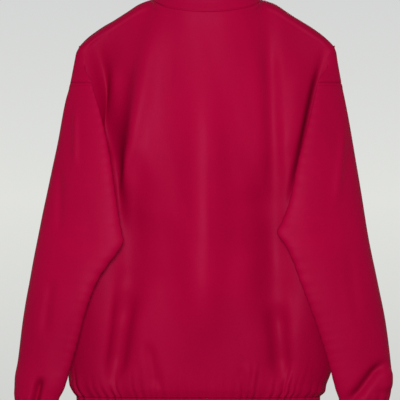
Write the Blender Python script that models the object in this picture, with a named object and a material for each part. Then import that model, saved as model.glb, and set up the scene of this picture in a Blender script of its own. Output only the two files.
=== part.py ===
"""Windbreaker hung from a plain hanger, as thin walled solids.

Metres, +Z up, front of the garment towards -Y, its back towards +Y, the wearer's left at +X.
The origin is the inside top of the hanger's hook. "drop" is the height below the point where
the collar meets the shoulder line: every section of the garment is named by its drop.
"""
import math

import bpy
from mathutils import Vector

LEFT, RIGHT = 1, -1
HOOK_RISE = 0.105            # from the neck point up to the inside top of the hook

# Cloth
CLOTH_WALL = 0.0014
COLLAR_WALL = 0.0024
BAND_WALL = 0.0024
TAPE_WALL = 0.0013
SEAM_GAP = 0.0005            # between the edges of two pieces that are sewn together

# Neck and shoulder line
NECK_HALF = 0.0954
BACK_NECK = Vector((0.045, 0.0235))     # depth behind the neck points, drop below them
FRONT_NECK = Vector((0.055, 0.085))
TIP = Vector((0.2225, 0.080))           # half width and drop of the shoulder tips
RIDGE_RADIUS = 0.011                    # of the cloth where it lies over the hanger
ZIP_EDGE = 0.0078                       # from the middle to the cloth beside the zip

# Levels, as drops
TOP_ZONE_END = 0.24          # down to here the sections still follow the sloping shoulder
ARMHOLE_TOP = 0.145
ARMPIT = 0.413
BODY_HEM = 0.695
BAND_HEM = 0.735
SLEEVE_HEM = 0.712
CUFF_HEM = 0.742
BODY_LEVELS = (0.0818, 0.086, 0.092, 0.110, 0.145, 0.190, 0.240, 0.290, 0.340, 0.380,
               0.413, 0.450, 0.500, 0.550, 0.600, 0.640, 0.665)
BODY_GATHER_LEVELS = (0.684, BODY_HEM)
BAND_LEVELS = (BODY_HEM, 0.704, 0.726, BAND_HEM)
SLEEVE_LEVELS = (0.145, 0.190, 0.240, 0.290, 0.340, 0.380, 0.413, 0.426, 0.450, 0.500, 0.550,
                 0.600, 0.640, 0.670, 0.690)
SLEEVE_GATHER_LEVELS = (0.702, SLEEVE_HEM)
CUFF_LEVELS = (SLEEVE_HEM, 0.719, 0.735, CUFF_HEM)

# Cells across each stretch of a section
NECK_CELLS = 5
SHOULDER_CELLS = 10
NECK_SHARE = 0.263           # curve value of the column that starts at the neck point
UNDER_CELLS = 6
REAR_CELLS = 8
FRONT_CELLS = 6
GATHERS_BACK = 30
GATHERS_CUFF = 14
GATHER_HEIGHT = 0.0020
CUFF_GATHER_HEIGHT = 0.0016
ZIP_FLAT = 4                 # gather points beside the zip that lie flatter


class Table:
    """Rows with named columns, read between rows by a smooth curve that never overshoots."""

    def __init__(self, names, *rows):
        self.names = names.split()
        self.keys = [row[0] for row in rows]
        self.columns = dict(zip(self.names, zip(*rows)))

    def read(self, name, key):
        keys, values = self.keys, self.columns[name]
        if key <= keys[0]:
            return values[0]
        if key >= keys[-1]:
            return values[-1]
        last = max(i for i, k in enumerate(keys) if k <= key)
        span = keys[last + 1] - keys[last]
        t = (key - keys[last]) / span
        start, end = self.slope(values, last), self.slope(values, last + 1)
        return (values[last] * (1 + 2 * t) * (1 - t) ** 2 + values[last + 1] * t * t * (3 - 2 * t)
                + span * (start * t * (1 - t) ** 2 - end * t * t * (1 - t)))

    def slope(self, values, i):
        """Harmonic mean of the slopes on both sides of row i, zero at a turning point."""
        keys = self.keys
        before = (values[i] - values[i - 1]) / (keys[i] - keys[i - 1]) if i else None
        after = (values[i + 1] - values[i]) / (keys[i + 1] - keys[i]) if i + 1 < len(keys) else None
        if before is None or after is None:
            return after if before is None else before
        return 2 * before * after / (before + after) if before * after > 0 else 0.0


SHOULDER = Table(
    "x drop",
    (0.0954, 0.0000), (0.1024, 0.0015), (0.1180, 0.0070), (0.1410, 0.0210),
    (0.1636, 0.0350), (0.1960, 0.0560), (0.2126, 0.0700), (0.2225, 0.0800))

# Half widths of the outer edge of the shoulder and sleeve, and how far back that edge lies
OUTER = Table(
    "drop left right y",
    (0.080, 0.2225, 0.2225, 0.000),
    (0.092, 0.2290, 0.2270, 0.001),
    (0.105, 0.2319, 0.2290, 0.001),
    (0.145, 0.2395, 0.2362, 0.004),
    (0.175, 0.2476, 0.2424, 0.006),
    (0.245, 0.2599, 0.2546, 0.011),
    (0.350, 0.2809, 0.2721, 0.017),
    (0.420, 0.2949, 0.2826, 0.022),
    (0.490, 0.3089, 0.2966, 0.027),
    (0.560, 0.3211, 0.3106, 0.032),
    (0.630, 0.3299, 0.3194, 0.036),
    (0.662, 0.3348, 0.3220, 0.039),
    (0.682, 0.3351, 0.3194, 0.041),
    (0.700, 0.3326, 0.3140, 0.044),
    (0.712, 0.3318, 0.3104, 0.045),
    (0.742, 0.3360, 0.3140, 0.045))

# The sleeve's inner fold, which lies over the back
FOLD = Table(
    "drop left right y",
    (0.105, 0.2110, 0.2060, 0.016),
    (0.125, 0.2060, 0.1985, 0.020),
    (0.147, 0.2004, 0.1925, 0.024),
    (0.200, 0.1845, 0.1802, 0.034),
    (0.250, 0.1733, 0.1668, 0.042),
    (0.300, 0.1648, 0.1551, 0.049),
    (0.350, 0.1573, 0.1444, 0.054),
    (0.385, 0.1513, 0.1315, 0.057),
    (0.408, 0.1462, 0.1216, 0.060),
    (0.420, 0.1435, 0.1300, 0.061),
    (0.432, 0.1487, 0.1375, 0.062),
    (0.459, 0.1689, 0.1495, 0.062),
    (0.485, 0.1864, 0.1584, 0.062),
    (0.516, 0.2004, 0.1693, 0.062),
    (0.546, 0.2109, 0.1804, 0.060),
    (0.586, 0.2214, 0.1950, 0.057),
    (0.634, 0.2354, 0.2109, 0.054),
    (0.674, 0.2476, 0.2223, 0.051),
    (0.700, 0.2590, 0.2301, 0.049),
    (0.712, 0.2600, 0.2304, 0.048),
    (0.742, 0.2642, 0.2340, 0.048))

# Edge of the back panel: the seam in the valley under the sleeve, then the side seam
BACK_EDGE = Table(
    "drop left right y",
    (0.080, 0.2225, 0.2225, 0.0110),
    (0.086, 0.2188, 0.2180, 0.0110),
    (0.092, 0.2160, 0.2145, 0.0110),
    (0.105, 0.2125, 0.2105, 0.0115),
    (0.125, 0.2125, 0.2098, 0.0120),
    (0.145, 0.2130, 0.2100, 0.0130),
    (0.180, 0.2125, 0.2095, 0.0160),
    (0.250, 0.2140, 0.2110, 0.0220),
    (0.320, 0.2190, 0.2160, 0.0240),
    (0.370, 0.2260, 0.2230, 0.0180),
    (0.413, 0.2420, 0.2400, 0.0030),
    (0.440, 0.2435, 0.2400, 0.0010),
    (0.500, 0.2460, 0.2400, 0.0000),
    (0.560, 0.2480, 0.2360, 0.0000),
    (0.620, 0.2475, 0.2280, 0.0000),
    (0.660, 0.2430, 0.2150, 0.0000),
    (0.674, 0.2415, 0.2091, 0.0000),
    (0.686, 0.2355, 0.2065, 0.0000),
    (0.695, 0.2290, 0.1980, 0.0000),
    (0.735, 0.2280, 0.1970, 0.0000))

# Edge of the front panels where the sleeve is sewn on, between the outer edge and the armpit
FRONT_EDGE = Table(
    "drop left right y",
    (0.145, 0.2395, 0.2362, 0.004),
    (0.180, 0.2415, 0.2385, -0.008),
    (0.250, 0.2455, 0.2425, -0.013),
    (0.320, 0.2480, 0.2450, -0.012),
    (0.370, 0.2470, 0.2440, -0.006),
    (0.413, 0.2420, 0.2400, 0.003))

# Depths of the body in the middle, and how its sections turn in to their edges
BODY = Table(
    "drop back front back_turn_x back_turn_y front_turn_x front_turn_y",
    (0.080, 0.0460, 0.0550, 0.000, -0.004, 0.000, -0.006),
    (0.145, 0.0475, 0.0530, 0.000, -0.004, 0.000, -0.006),
    (0.180, 0.0480, 0.0520, 0.000, -0.004, -0.003, -0.006),
    (0.250, 0.0480, 0.0500, 0.000, -0.004, -0.009, -0.006),
    (0.320, 0.0485, 0.0495, -0.003, -0.002, -0.008, -0.006),
    (0.370, 0.0490, 0.0490, -0.010, 0.004, -0.006, -0.006),
    (0.413, 0.0500, 0.0480, -0.006, 0.011, 0.000, -0.015),
    (0.440, 0.0500, 0.0480, 0.000, 0.021, 0.000, -0.022),
    (0.500, 0.0495, 0.0480, 0.000, 0.028, 0.000, -0.028),
    (0.560, 0.0480, 0.0475, 0.000, 0.030, 0.000, -0.030),
    (0.640, 0.0440, 0.0440, 0.000, 0.028, 0.000, -0.028),
    (0.680, 0.0400, 0.0390, 0.000, 0.026, 0.000, -0.026),
    (0.695, 0.0360, 0.0350, 0.000, 0.025, 0.000, -0.025),
    (0.735, 0.0355, 0.0345, 0.000, 0.025, 0.000, -0.025))

# The sleeve's line under the arm, and how far its curves run straight from their ends
SLEEVE = Table(
    "drop under_left under_right under_y leave_x leave_y fold_in fold_out edge_rear edge_front join_x join_y",
    (0.105, 0.2125, 0.2105, 0.0115, 0.000, 0.002, 0.002, 0.003, 0.006, 0.000, 0.000, 0.000),
    (0.145, 0.2130, 0.2100, 0.0130, 0.000, 0.003, 0.005, 0.006, 0.010, 0.000, 0.000, 0.000),
    (0.180, 0.2130, 0.2100, 0.0130, 0.000, 0.004, 0.007, 0.009, 0.013, 0.006, 0.003, 0.005),
    (0.250, 0.2130, 0.2100, 0.0130, 0.000, 0.005, 0.010, 0.016, 0.020, 0.010, 0.008, 0.008),
    (0.320, 0.2130, 0.2100, 0.0130, -0.002, 0.006, 0.012, 0.021, 0.025, 0.013, 0.008, 0.008),
    (0.370, 0.2260, 0.2230, 0.0180, -0.003, 0.010, 0.013, 0.024, 0.028, 0.015, 0.010, 0.004),
    (0.413, 0.2435, 0.2415, 0.0045, -0.008, 0.018, 0.014, 0.026, 0.030, 0.016, 0.015, -0.003),
    (0.440, 0.2490, 0.2450, 0.0160, -0.018, 0.015, 0.013, 0.026, 0.030, 0.017, 0.020, -0.004),
    (0.500, 0.2455, 0.2425, 0.0220, -0.025, 0.010, 0.012, 0.026, 0.030, 0.020, 0.022, -0.003),
    (0.560, 0.2610, 0.2500, 0.0180, -0.025, 0.008, 0.013, 0.025, 0.029, 0.020, 0.021, -0.002),
    (0.620, 0.2720, 0.2570, 0.0160, -0.025, 0.006, 0.015, 0.024, 0.028, 0.020, 0.020, 0.000),
    (0.670, 0.2820, 0.2640, 0.0180, -0.022, 0.003, 0.018, 0.025, 0.027, 0.023, 0.020, 0.000),
    (0.712, 0.2958, 0.2704, 0.0190, -0.020, 0.000, 0.018, 0.022, 0.023, 0.023, 0.020, 0.000),
    (0.742, 0.3000, 0.2740, 0.0190, -0.020, 0.000, 0.018, 0.022, 0.023, 0.023, 0.020, 0.000))

# Slope of the sleeve's cross cuts, whose outer side is higher below the armpit
SLEEVE_TILT = Table("drop slope", (0.413, 0.0), (0.500, 0.10), (0.620, 0.21), (0.742, 0.24))

# Ridges and troughs of the back, each along a straight line, and how they fade at its ends
FOLD_OVERRUN = 0.10
FOLD_FADE = 0.35
FOLDS = Table(
    "x_top drop_top x_end drop_end height half_width",
    (0.0814, 0.021, 0.1549, 0.333, 0.0060, 0.016),
    (0.1374, 0.105, 0.1654, 0.263, -0.0090, 0.020),
    (-0.1076, 0.053, -0.1181, 0.324, -0.0040, 0.014),
    (-0.1636, 0.105, -0.1461, 0.263, 0.0040, 0.020),
    (0.0026, 0.175, 0.0026, 0.578, 0.0050, 0.035),
    (0.0989, 0.376, 0.0989, 0.508, -0.0060, 0.030),
    (-0.0761, 0.333, -0.0849, 0.455, -0.0070, 0.030),
    (0.1374, 0.473, 0.1654, 0.690, -0.0070, 0.013),
    (-0.1111, 0.499, -0.1321, 0.690, -0.0060, 0.013))

# Hanger
BAR_RADIUS = 0.0072
BAR_CLEARANCE = 0.0007
BAR_RISE = 0.0143            # of the bar's middle above the place where it passes the neck
BAR_NECK_X = 0.1014          # where it passes under the neck seam
BAR_NECK_DIP = 0.0035        # extra depth there
BAR_DIP_SPAN = (0.101, 0.135)    # from x to x the extra depth fades
BAR_END_X = 0.2090
BAR_STEPS = 12
HOOK_WIRE = 0.0019
HOOK_INSIDE = 0.019
HOOK_TIP_ANGLE = -25.0
HOOK_SIDE_ANGLE = 200.0
HOOK_STEPS = 18
SHANK_TOP = 0.060            # below the origin
SHANK_BEND = 0.015           # how far the wire runs straight into the bend over the shank
SHANK_STEPS = 8
SHANK_CLEARANCE = 0.0003     # from its foot to the bar

# Zip
COLLAR_HEIGHTS = {"back": 0.066, "side": 0.056, "front": 0.068}
COLLAR_LEAN = 0.06           # share by which the collar's top is narrower than the neck
COLLAR_ROWS = 4
SLIDER_DROP = 0.030
SLIDER_CLEARANCE = 0.0003    # from its foot to the leaning tapes
SLIDER = Vector((0.0090, 0.0026, 0.0120))
BRIDGE_WIDTH = 0.0030
BRIDGE_POST = 0.0013
EYE = 0.0032                 # clear height and length under the slider's bridge
PULL = Vector((0.0086, 0.0016, 0.0280))
PULL_BAR = 0.0016
PULL_WINDOW = Vector((0.0044, 0.0, 0.0044))
PULL_ARC_STEPS = 10

# Colours, linear
CRIMSON = (0.325, 0.0020, 0.0360)
DARK_CRIMSON = (0.210, 0.0015, 0.0240)
STEEL = (0.560, 0.560, 0.570)
PALE_WOOD = (0.520, 0.360, 0.210)


def smooth(t):
    t = min(max(t, 0.0), 1.0)
    return t * t * (3 - 2 * t)


def bezier(points, t):
    a, b, c, d = points
    s = 1 - t
    return a * s ** 3 + b * 3 * s * s * t + c * 3 * s * t * t + d * t ** 3


def side_name(side):
    return "left" if side == LEFT else "right"


def at(x, y, drop):
    return Vector((x, y, -HOOK_RISE - drop))


def columns():
    """Curve values of a half section's columns, from the middle to its edge."""
    neck = [NECK_SHARE * i / NECK_CELLS for i in range(NECK_CELLS)]
    shoulder = [NECK_SHARE + (1 - NECK_SHARE) * i / SHOULDER_CELLS for i in range(SHOULDER_CELLS + 1)]
    return neck + shoulder


def across(t):
    """Share of a section's half width that its curve has covered at t."""
    return bezier((0.0, 0.6, 1.0, 1.0), t)


def neck_line(u, face):
    """Neck seam from the middle (0) to the neck point (1), as x, y and drop."""
    turn = (1 - u) * math.pi / 2
    if face == "back":
        return (NECK_HALF * math.cos(turn), BACK_NECK.x * math.sin(turn),
                BACK_NECK.y * math.sin(turn) ** 1.2)
    return (ZIP_EDGE + (NECK_HALF - ZIP_EDGE) * math.cos(turn), -FRONT_NECK.x * math.sin(turn),
            FRONT_NECK.y * math.sin(turn) ** 1.5)


def top_line(t, face):
    """Upper edge of a panel at column t: the neck seam, then the shoulder seam."""
    if t < NECK_SHARE:
        return neck_line(t / NECK_SHARE, face)
    share = (across(t) - across(NECK_SHARE)) / (1 - across(NECK_SHARE))
    x = NECK_HALF + (TIP.x - NECK_HALF) * share
    return x, 0.0, SHOULDER.read("drop", x)


def ridge(depth):
    """Half thickness of the rounded shoulder ridge at a depth below its top."""
    depth = min(depth, RIDGE_RADIUS)
    return math.sqrt(max(depth * (2 * RIDGE_RADIUS - depth), 0.0))


def fold_height(x, drop):
    """Height of the back's ridges and troughs over its plain section."""
    total = 0.0
    for row in zip(*(FOLDS.columns[name] for name in FOLDS.names)):
        fold = dict(zip(FOLDS.names, row))
        length = fold["drop_end"] - fold["drop_top"]
        u = (drop - fold["drop_top"]) / length
        middle = fold["x_top"] + (fold["x_end"] - fold["x_top"]) * u
        ends = smooth((u + FOLD_OVERRUN) / FOLD_FADE) * smooth((1 + FOLD_OVERRUN - u) / FOLD_FADE)
        total += fold["height"] * ends * math.exp(-((x - middle) / fold["half_width"]) ** 2)
    return total


def half_point(side, face, t, drop):
    """Outer surface of the back or a front at column t of the section at a drop."""
    name = side_name(side)
    if face == "back":
        start = Vector((0.0, BODY.read("back", drop)))
        edge = Vector((BACK_EDGE.read(name, drop), BACK_EDGE.read("y", drop)))
        turn = edge + Vector((BODY.read("back_turn_x", drop), BODY.read("back_turn_y", drop)))
    else:
        start = Vector((ZIP_EDGE, -BODY.read("front", drop)))
        edge = front_edge(side, drop)
        turn = edge + Vector((BODY.read("front_turn_x", drop), BODY.read("front_turn_y", drop)))
    level = Vector((0.6 * edge.x, start.y))
    section = bezier((start, level, turn, edge), t)
    if drop >= TOP_ZONE_END:
        x, y, real_drop = section.x, section.y, drop
    else:
        x, y, real_drop = top_zone_point(face, t, drop, section, edge.x)
    if face == "back":
        y += fold_height(side * x, real_drop) * smooth((1 - t) / 0.35) * smooth((drop - TIP.y) / 0.04)
    return at(side * x, y, real_drop)


def top_zone_point(face, t, drop, section, edge_x):
    """A section's point, moved towards the sloping neck and shoulder line above it."""
    top_x, top_y, top_drop = top_line(t, face)
    share = (drop - TIP.y) / (TOP_ZONE_END - TIP.y)
    level = smooth(share)
    out = math.sin(share * math.pi / 2)
    real_drop = drop - (TIP.y - top_drop) * (1 - level)
    x = (1 - level) * top_x * edge_x / TIP.x + level * section.x
    facing = 1 if face == "back" else -1
    rounding = smooth(2 * t / NECK_SHARE - 1)
    y = (1 - out) * (top_y + facing * rounding * ridge(real_drop - top_drop)) + out * section.y
    if face == "front":
        near_edge = smooth((t - 0.8) / 0.2)
        y += near_edge * (section.y - y)
    return x, y, real_drop


def front_edge(side, drop):
    if drop <= ARMHOLE_TOP:
        return outer_edge(side, drop)
    table = FRONT_EDGE if drop < ARMPIT else BACK_EDGE
    return Vector((table.read(side_name(side), drop), table.read("y", drop)))


def outer_edge(side, drop):
    return Vector((OUTER.read(side_name(side), drop), OUTER.read("y", drop)))


def back_row(side, drop, values):
    return [half_point(side, "back", t, drop) for t in values]


def front_row(side, drop, values):
    return [half_point(side, "front", t, drop) for t in values]


def axis_x(side, drop):
    """Middle of the sleeve, seen from behind."""
    name = side_name(side)
    return (OUTER.read(name, drop) + FOLD.read(name, drop)) / 2


def tilted_x(side, drop, read):
    """Half width that a table gives where a tilted cross cut of the sleeve meets it."""
    slope = SLEEVE_TILT.read("slope", drop)
    level = drop
    for _ in range(4):
        level = drop - slope * (read(level) - axis_x(side, drop))
    return read(level)


def arm_points(side, drop):
    """Corner points of the sleeve's section and of the shoulder above it."""
    name = side_name(side)
    fold = Vector((tilted_x(side, drop, lambda level: FOLD.read(name, level)), FOLD.read("y", drop)))
    outer = Vector((tilted_x(side, drop, lambda level: OUTER.read(name, level)), OUTER.read("y", drop)))
    if drop < ARMPIT:
        seam = half_point(side, "back", 1.0, drop)
        start = Vector((side * seam.x, seam.y))
        return start, fold, outer, front_edge(side, drop)
    start = Vector((SLEEVE.read("under_" + name, drop), SLEEVE.read("under_y", drop)))
    return start, fold, outer, start


def arm_row(side, drop, cells):
    """Section of the arm from the back panel's edge round the fold and the outer edge.

    cells is the number of cells on the under layer, the rear face and the front face.
    """
    start, fold, outer, end = arm_points(side, drop)
    read = lambda name: SLEEVE.read(name, drop)
    under = (start, start + Vector((read("leave_x"), read("leave_y"))),
             fold - Vector((0, read("fold_in"))), fold)
    rear = (fold, fold + Vector((0, read("fold_out"))), outer + Vector((0, read("edge_rear"))), outer)
    front = (outer, outer - Vector((0, read("edge_front"))),
             end + Vector((read("join_x"), read("join_y"))), end)
    if not cells[0]:
        under, rear = None, (start, start + Vector((0.004, 0.0)), rear[2], outer)
    slope = SLEEVE_TILT.read("slope", drop)
    middle = axis_x(side, drop)
    points = [rear[0] if under is None else start]
    for curve, count in zip((under, rear, front), cells):
        points += [bezier(curve, (i + 1) / count) for i in range(count)]
    return [at(side * p.x, p.y, drop - slope * (p.x - middle)) for p in points]


def spread(row, count):
    """Points at equal steps along a row."""
    lengths = [0.0]
    for a, b in zip(row, row[1:]):
        lengths.append(lengths[-1] + (b - a).length)
    points = []
    for i in range(count + 1):
        goal = lengths[-1] * i / count
        k = min(max(j for j, length in enumerate(lengths) if length <= goal + 1e-12), len(row) - 2)
        points.append(row[k].lerp(row[k + 1], (goal - lengths[k]) / (lengths[k + 1] - lengths[k])))
    return points


def gathered(row, heights):
    """A row whose points stand in and out by turns, across its own direction."""
    points = []
    for i, point in enumerate(row):
        run = row[min(i + 1, len(row) - 1)] - row[max(i - 1, 0)]
        if row[0] == row[-1] and i in (0, len(row) - 1):
            run = row[1] - row[-2]
        out = Vector((-run.y, run.x, 0)).normalized()
        points.append(point + out * heights[i] * (-1) ** i)
    return points


FINE = [i / 60 for i in range(61)]


def gathered_body_row(drop, share):
    """Whole section of the body or its band near the hem, from zip to zip by way of the back."""
    row = []
    cells = GATHERS_BACK
    for side in (LEFT, RIGHT):
        front = spread([half_point(side, "front", t, drop) for t in FINE], cells)
        back = spread([half_point(side, "back", t, drop) for t in FINE], cells)
        heights = [GATHER_HEIGHT * share * smooth(i / ZIP_FLAT) for i in range(cells + 1)]
        front = gathered(front, [-side * height for height in heights])
        back = gathered(back, [side * GATHER_HEIGHT * share] * (cells + 1))
        front[-1] = back[-1] = (front[-1] + back[-1]) / 2
        half = front + back[::-1][1:]
        row = half if side == LEFT else row[:-1] + half[::-1]
    return row


def gathered_arm_row(side, drop, share):
    fine = arm_row(side, drop, (12, 16, 12))
    fine[-1] = fine[0].copy()
    row = spread(fine, 2 * GATHERS_CUFF)
    row[-1] = row[0].copy()
    return gathered(row, [side * CUFF_GATHER_HEIGHT * share] * len(row))


class Piece:
    """One cut piece of cloth: the points of its outer surface and the faces between them."""

    def __init__(self, name, wall, material):
        self.name = name
        self.wall = wall
        self.material = material
        self.points = []
        self.faces = []
        self.places = {}

    def add(self, point):
        key = place_key(point)
        if key not in self.places:
            self.places[key] = len(self.points)
            self.points.append(point)
        return self.places[key]

    def face(self, *points):
        corners = []
        for point in points:
            corner = self.add(point)
            if corner not in corners:
                corners.append(corner)
        if len(corners) > 2:
            self.faces.append(corners)

    def quad(self, a, b, c, d):
        """Two triangles, cut along the shorter diagonal so that both sides of the wall agree."""
        if (a - c).length <= (b - d).length:
            self.face(a, b, c)
            self.face(a, c, d)
        else:
            self.face(a, b, d)
            self.face(b, c, d)

    def lace(self, upper, lower):
        """Join two rows, with quads where their counts agree and triangles where they differ."""
        if len(upper) == len(lower):
            for i in range(len(upper) - 1):
                self.quad(upper[i], lower[i], lower[i + 1], upper[i + 1])
            return
        high, low = shares(upper), shares(lower)
        i = j = 0
        while i < len(upper) - 1 or j < len(lower) - 1:
            if j == len(lower) - 1 or (i < len(upper) - 1 and high[i + 1] <= low[j + 1]):
                self.face(upper[i], lower[j], upper[i + 1])
                i += 1
            else:
                self.face(upper[i], lower[j], lower[j + 1])
                j += 1

    def rows(self, rows):
        for upper, lower in zip(rows, rows[1:]):
            self.lace(upper, lower)


def place_key(point):
    return tuple(round(value, 6) for value in point)


def shares(row):
    lengths = [0.0]
    for a, b in zip(row, row[1:]):
        lengths.append(lengths[-1] + (b - a).length)
    return [length / lengths[-1] for length in lengths]


def in_ring_order(side, row):
    """Rows run from the wearer's left round the back to the right, so the outside faces out."""
    return row[::-1] if side == LEFT else row


def fan_cells(drop):
    """Cells of the under layer and the rear face on the back panel, fewer near the tip."""
    counts = {0.0818: (0, 1), 0.086: (0, 2), 0.092: (0, 3), 0.110: (0, 4)}
    return counts.get(drop, (UNDER_CELLS, REAR_CELLS))


def make_back(material):
    piece = Piece("back", CLOTH_WALL, material)
    values = columns()
    top = {side: [at(side * x, y, drop) for x, y, drop in (top_line(t, "back") for t in values)]
           for side in (LEFT, RIGHT)}
    halves = {side: [top[side]] for side in (LEFT, RIGHT)}
    for drop in BODY_LEVELS:
        for side in (LEFT, RIGHT):
            halves[side].append(back_row(side, drop, values))
    for side in (LEFT, RIGHT):
        piece.rows([in_ring_order(side, row) for row in halves[side]])
        fan = [in_ring_order(side, arm_row(side, drop, (*fan_cells(drop), 0)))
               for drop in BODY_LEVELS if drop <= ARMHOLE_TOP]
        for a, b in zip(fan[0], fan[0][1:]):
            piece.face(top[side][-1], a, b)
        piece.rows(fan)
    whole = [halves[LEFT][-1][::-1] + halves[RIGHT][-1][1:]]
    for drop, share in zip(BODY_GATHER_LEVELS, (0.5, 1.0)):
        row = gathered_body_row(drop, share)
        whole.append(row[GATHERS_BACK:-GATHERS_BACK])
    piece.rows(whole)
    return piece


def make_front(side, material):
    piece = Piece("front_" + side_name(side), CLOTH_WALL, material)
    values = columns()
    rows = [[at(side * x, y, drop) for x, y, drop in (top_line(t, "front") for t in values)]]
    rows += [front_row(side, drop, values) for drop in BODY_LEVELS]
    rows = [in_ring_order(-side, row) for row in rows]
    for drop, share in zip(BODY_GATHER_LEVELS, (0.5, 1.0)):
        row = gathered_body_row(drop, share)
        rows.append(row[:GATHERS_BACK + 1] if side == LEFT else row[-GATHERS_BACK - 1:])
    piece.rows(rows)
    return piece


def make_sleeve(side, material):
    piece = Piece("sleeve_" + side_name(side), CLOTH_WALL, material)
    rows = []
    for drop in SLEEVE_LEVELS:
        front_cells = FRONT_CELLS if drop > ARMHOLE_TOP else 0
        rows.append(arm_row(side, drop, (UNDER_CELLS, REAR_CELLS, front_cells)))
    for row in rows:
        if len(row) < len(rows[1]):
            row += [row[-1]] * (len(rows[1]) - len(row))
    rows += [gathered_arm_row(side, drop, share)
             for drop, share in zip(SLEEVE_GATHER_LEVELS, (0.5, 1.0))]
    piece.rows([in_ring_order(side, row) for row in rows])
    return piece


def make_cuff(side, material):
    piece = Piece("cuff_" + side_name(side), BAND_WALL, material)
    piece.rows([in_ring_order(side, gathered_arm_row(side, drop, 1.0)) for drop in CUFF_LEVELS])
    return piece


def make_band(material):
    piece = Piece("hem_band", BAND_WALL, material)
    piece.rows([gathered_body_row(drop, 1.0) for drop in BAND_LEVELS])
    return piece


def collar_row(share):
    """Collar at a share of its height, from the left zip edge round the back to the right one."""
    halves = []
    for side in (LEFT, RIGHT):
        half = []
        for face in ("front", "back"):
            turns = [i / NECK_CELLS for i in range(NECK_CELLS + 1)]
            for u in (turns if face == "front" else turns[-2::-1]):
                half.append(collar_point(side, face, u, share))
        halves.append(half)
    return halves[0] + halves[1][::-1][1:]


def collar_point(side, face, u, share):
    x, y, drop = neck_line(u, face)
    middle = math.sin((1 - u) * math.pi / 2) ** 2
    height = COLLAR_HEIGHTS["side"] + (COLLAR_HEIGHTS[face] - COLLAR_HEIGHTS["side"]) * middle
    lean = 1 - COLLAR_LEAN * share
    x = x * lean + ZIP_EDGE * (1 - lean) * (1 if face == "front" else smooth(u))
    return at(side * x, y * lean, drop - height * share)


def make_collar(material):
    piece = Piece("collar", COLLAR_WALL, material)
    piece.rows([collar_row(1 - i / COLLAR_ROWS) for i in range(COLLAR_ROWS + 1)])
    return piece


def tape_line():
    """Depth and drop of the cloth beside the zip, from the collar's top down to the band's hem."""
    points = [collar_point(LEFT, "front", 0.0, 1 - i / COLLAR_ROWS) for i in range(COLLAR_ROWS + 1)]
    points += [half_point(LEFT, "front", 0.0, drop) for drop in BODY_LEVELS if drop > 0.0818]
    points += [half_point(LEFT, "front", 0.0, drop) for drop in (*BODY_GATHER_LEVELS, *BAND_LEVELS[1:])]
    return points


def make_tape(side, material):
    piece = Piece("zip_tape_" + side_name(side), TAPE_WALL, material)
    rows = []
    for point in tape_line():
        row = [Vector((side * x, point.y, point.z)) for x in (0, ZIP_EDGE)]
        rows.append(in_ring_order(-side, row))
    piece.rows(rows)
    return piece


def corner_normals(pieces):
    """Normals of the joined cloth at every point, so the walls of sewn pieces stay parallel."""
    sums = {}
    for piece in pieces:
        for face in piece.faces:
            points = [piece.points[i] for i in face]
            normal = face_normal(points)
            for i, point in enumerate(points):
                before, after = points[i - 1] - point, points[(i + 1) % len(points)] - point
                weight = before.angle(after)
                key = place_key(point)
                sums[key] = sums.get(key, Vector()) + normal * weight
    return {key: value.normalized() for key, value in sums.items()}


def face_normal(points):
    total = Vector()
    for i, point in enumerate(points):
        total += point.cross(points[(i + 1) % len(points)])
    return total.normalized()


def border(piece):
    """Edges of the piece's rim, in the direction of their faces, with the way into the cloth."""
    seen = {}
    for face in piece.faces:
        normal = face_normal([piece.points[i] for i in face])
        for a, b in zip(face, face[1:] + face[:1]):
            seen[(a, b)] = normal
    rim = {}
    for (a, b), normal in seen.items():
        if (b, a) not in seen:
            run = (piece.points[b] - piece.points[a]).normalized()
            rim[(a, b)] = normal.cross(run)
    return rim


def inset_points(piece, rim):
    """The piece's points, with its rim drawn in by half the seam gap."""
    inward = {}
    for edge, direction in rim.items():
        for corner in edge:
            inward.setdefault(corner, []).append(direction)
    points = list(piece.points)
    for corner, ways in inward.items():
        total = sum(ways, Vector())
        spread_out = max(1 + ways[0].dot(ways[-1]), 0.35)
        points[corner] = points[corner] + total * (SEAM_GAP / 2 / spread_out)
    return points


def seam_walls(pieces):
    """Wall at every point: the thinner one where a thick piece is sewn to a thin one."""
    walls = {}
    for piece in pieces:
        for point in piece.points:
            key = place_key(point)
            walls[key] = min(walls.get(key, piece.wall), piece.wall)
    return walls


def build_wall(piece, normals, walls, collection):
    """Turn a piece's outer surface into a closed wall with rims."""
    rim = border(piece)
    outside = inset_points(piece, rim)
    inside = [point - normals[place_key(old)] * walls[place_key(old)]
              for point, old in zip(outside, piece.points)]
    count = len(outside)
    faces = [list(face) for face in piece.faces]
    faces += [[i + count for i in reversed(face)] for face in piece.faces]
    for a, b in rim:
        # Both sides of a seam cut their rims along the same diagonal.
        if place_key(piece.points[a]) < place_key(piece.points[b]):
            faces += [[b, a, b + count], [a, a + count, b + count]]
        else:
            faces += [[b, a, a + count], [b, a + count, b + count]]
    mesh = bpy.data.meshes.new(piece.name)
    mesh.from_pydata([tuple(p) for p in outside + inside], [], faces)
    return add_object(piece.name, mesh, piece.material, collection)


def add_object(name, mesh, material, collection):
    mesh.materials.clear()
    mesh.materials.append(material)
    mesh.validate()
    mesh.shade_smooth()
    mesh.set_sharp_from_angle(angle=math.radians(40))
    thing = bpy.data.objects.new(name, mesh)
    collection.objects.link(thing)
    return thing


def make_material(name, colour, roughness, metallic=0.0):
    material = bpy.data.materials.new(name)
    material.use_nodes = True
    shader = material.node_tree.nodes["Principled BSDF"]
    shader.inputs["Base Color"].default_value = (*colour, 1.0)
    shader.inputs["Roughness"].default_value = roughness
    shader.inputs["Metallic"].default_value = metallic
    return material


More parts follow.
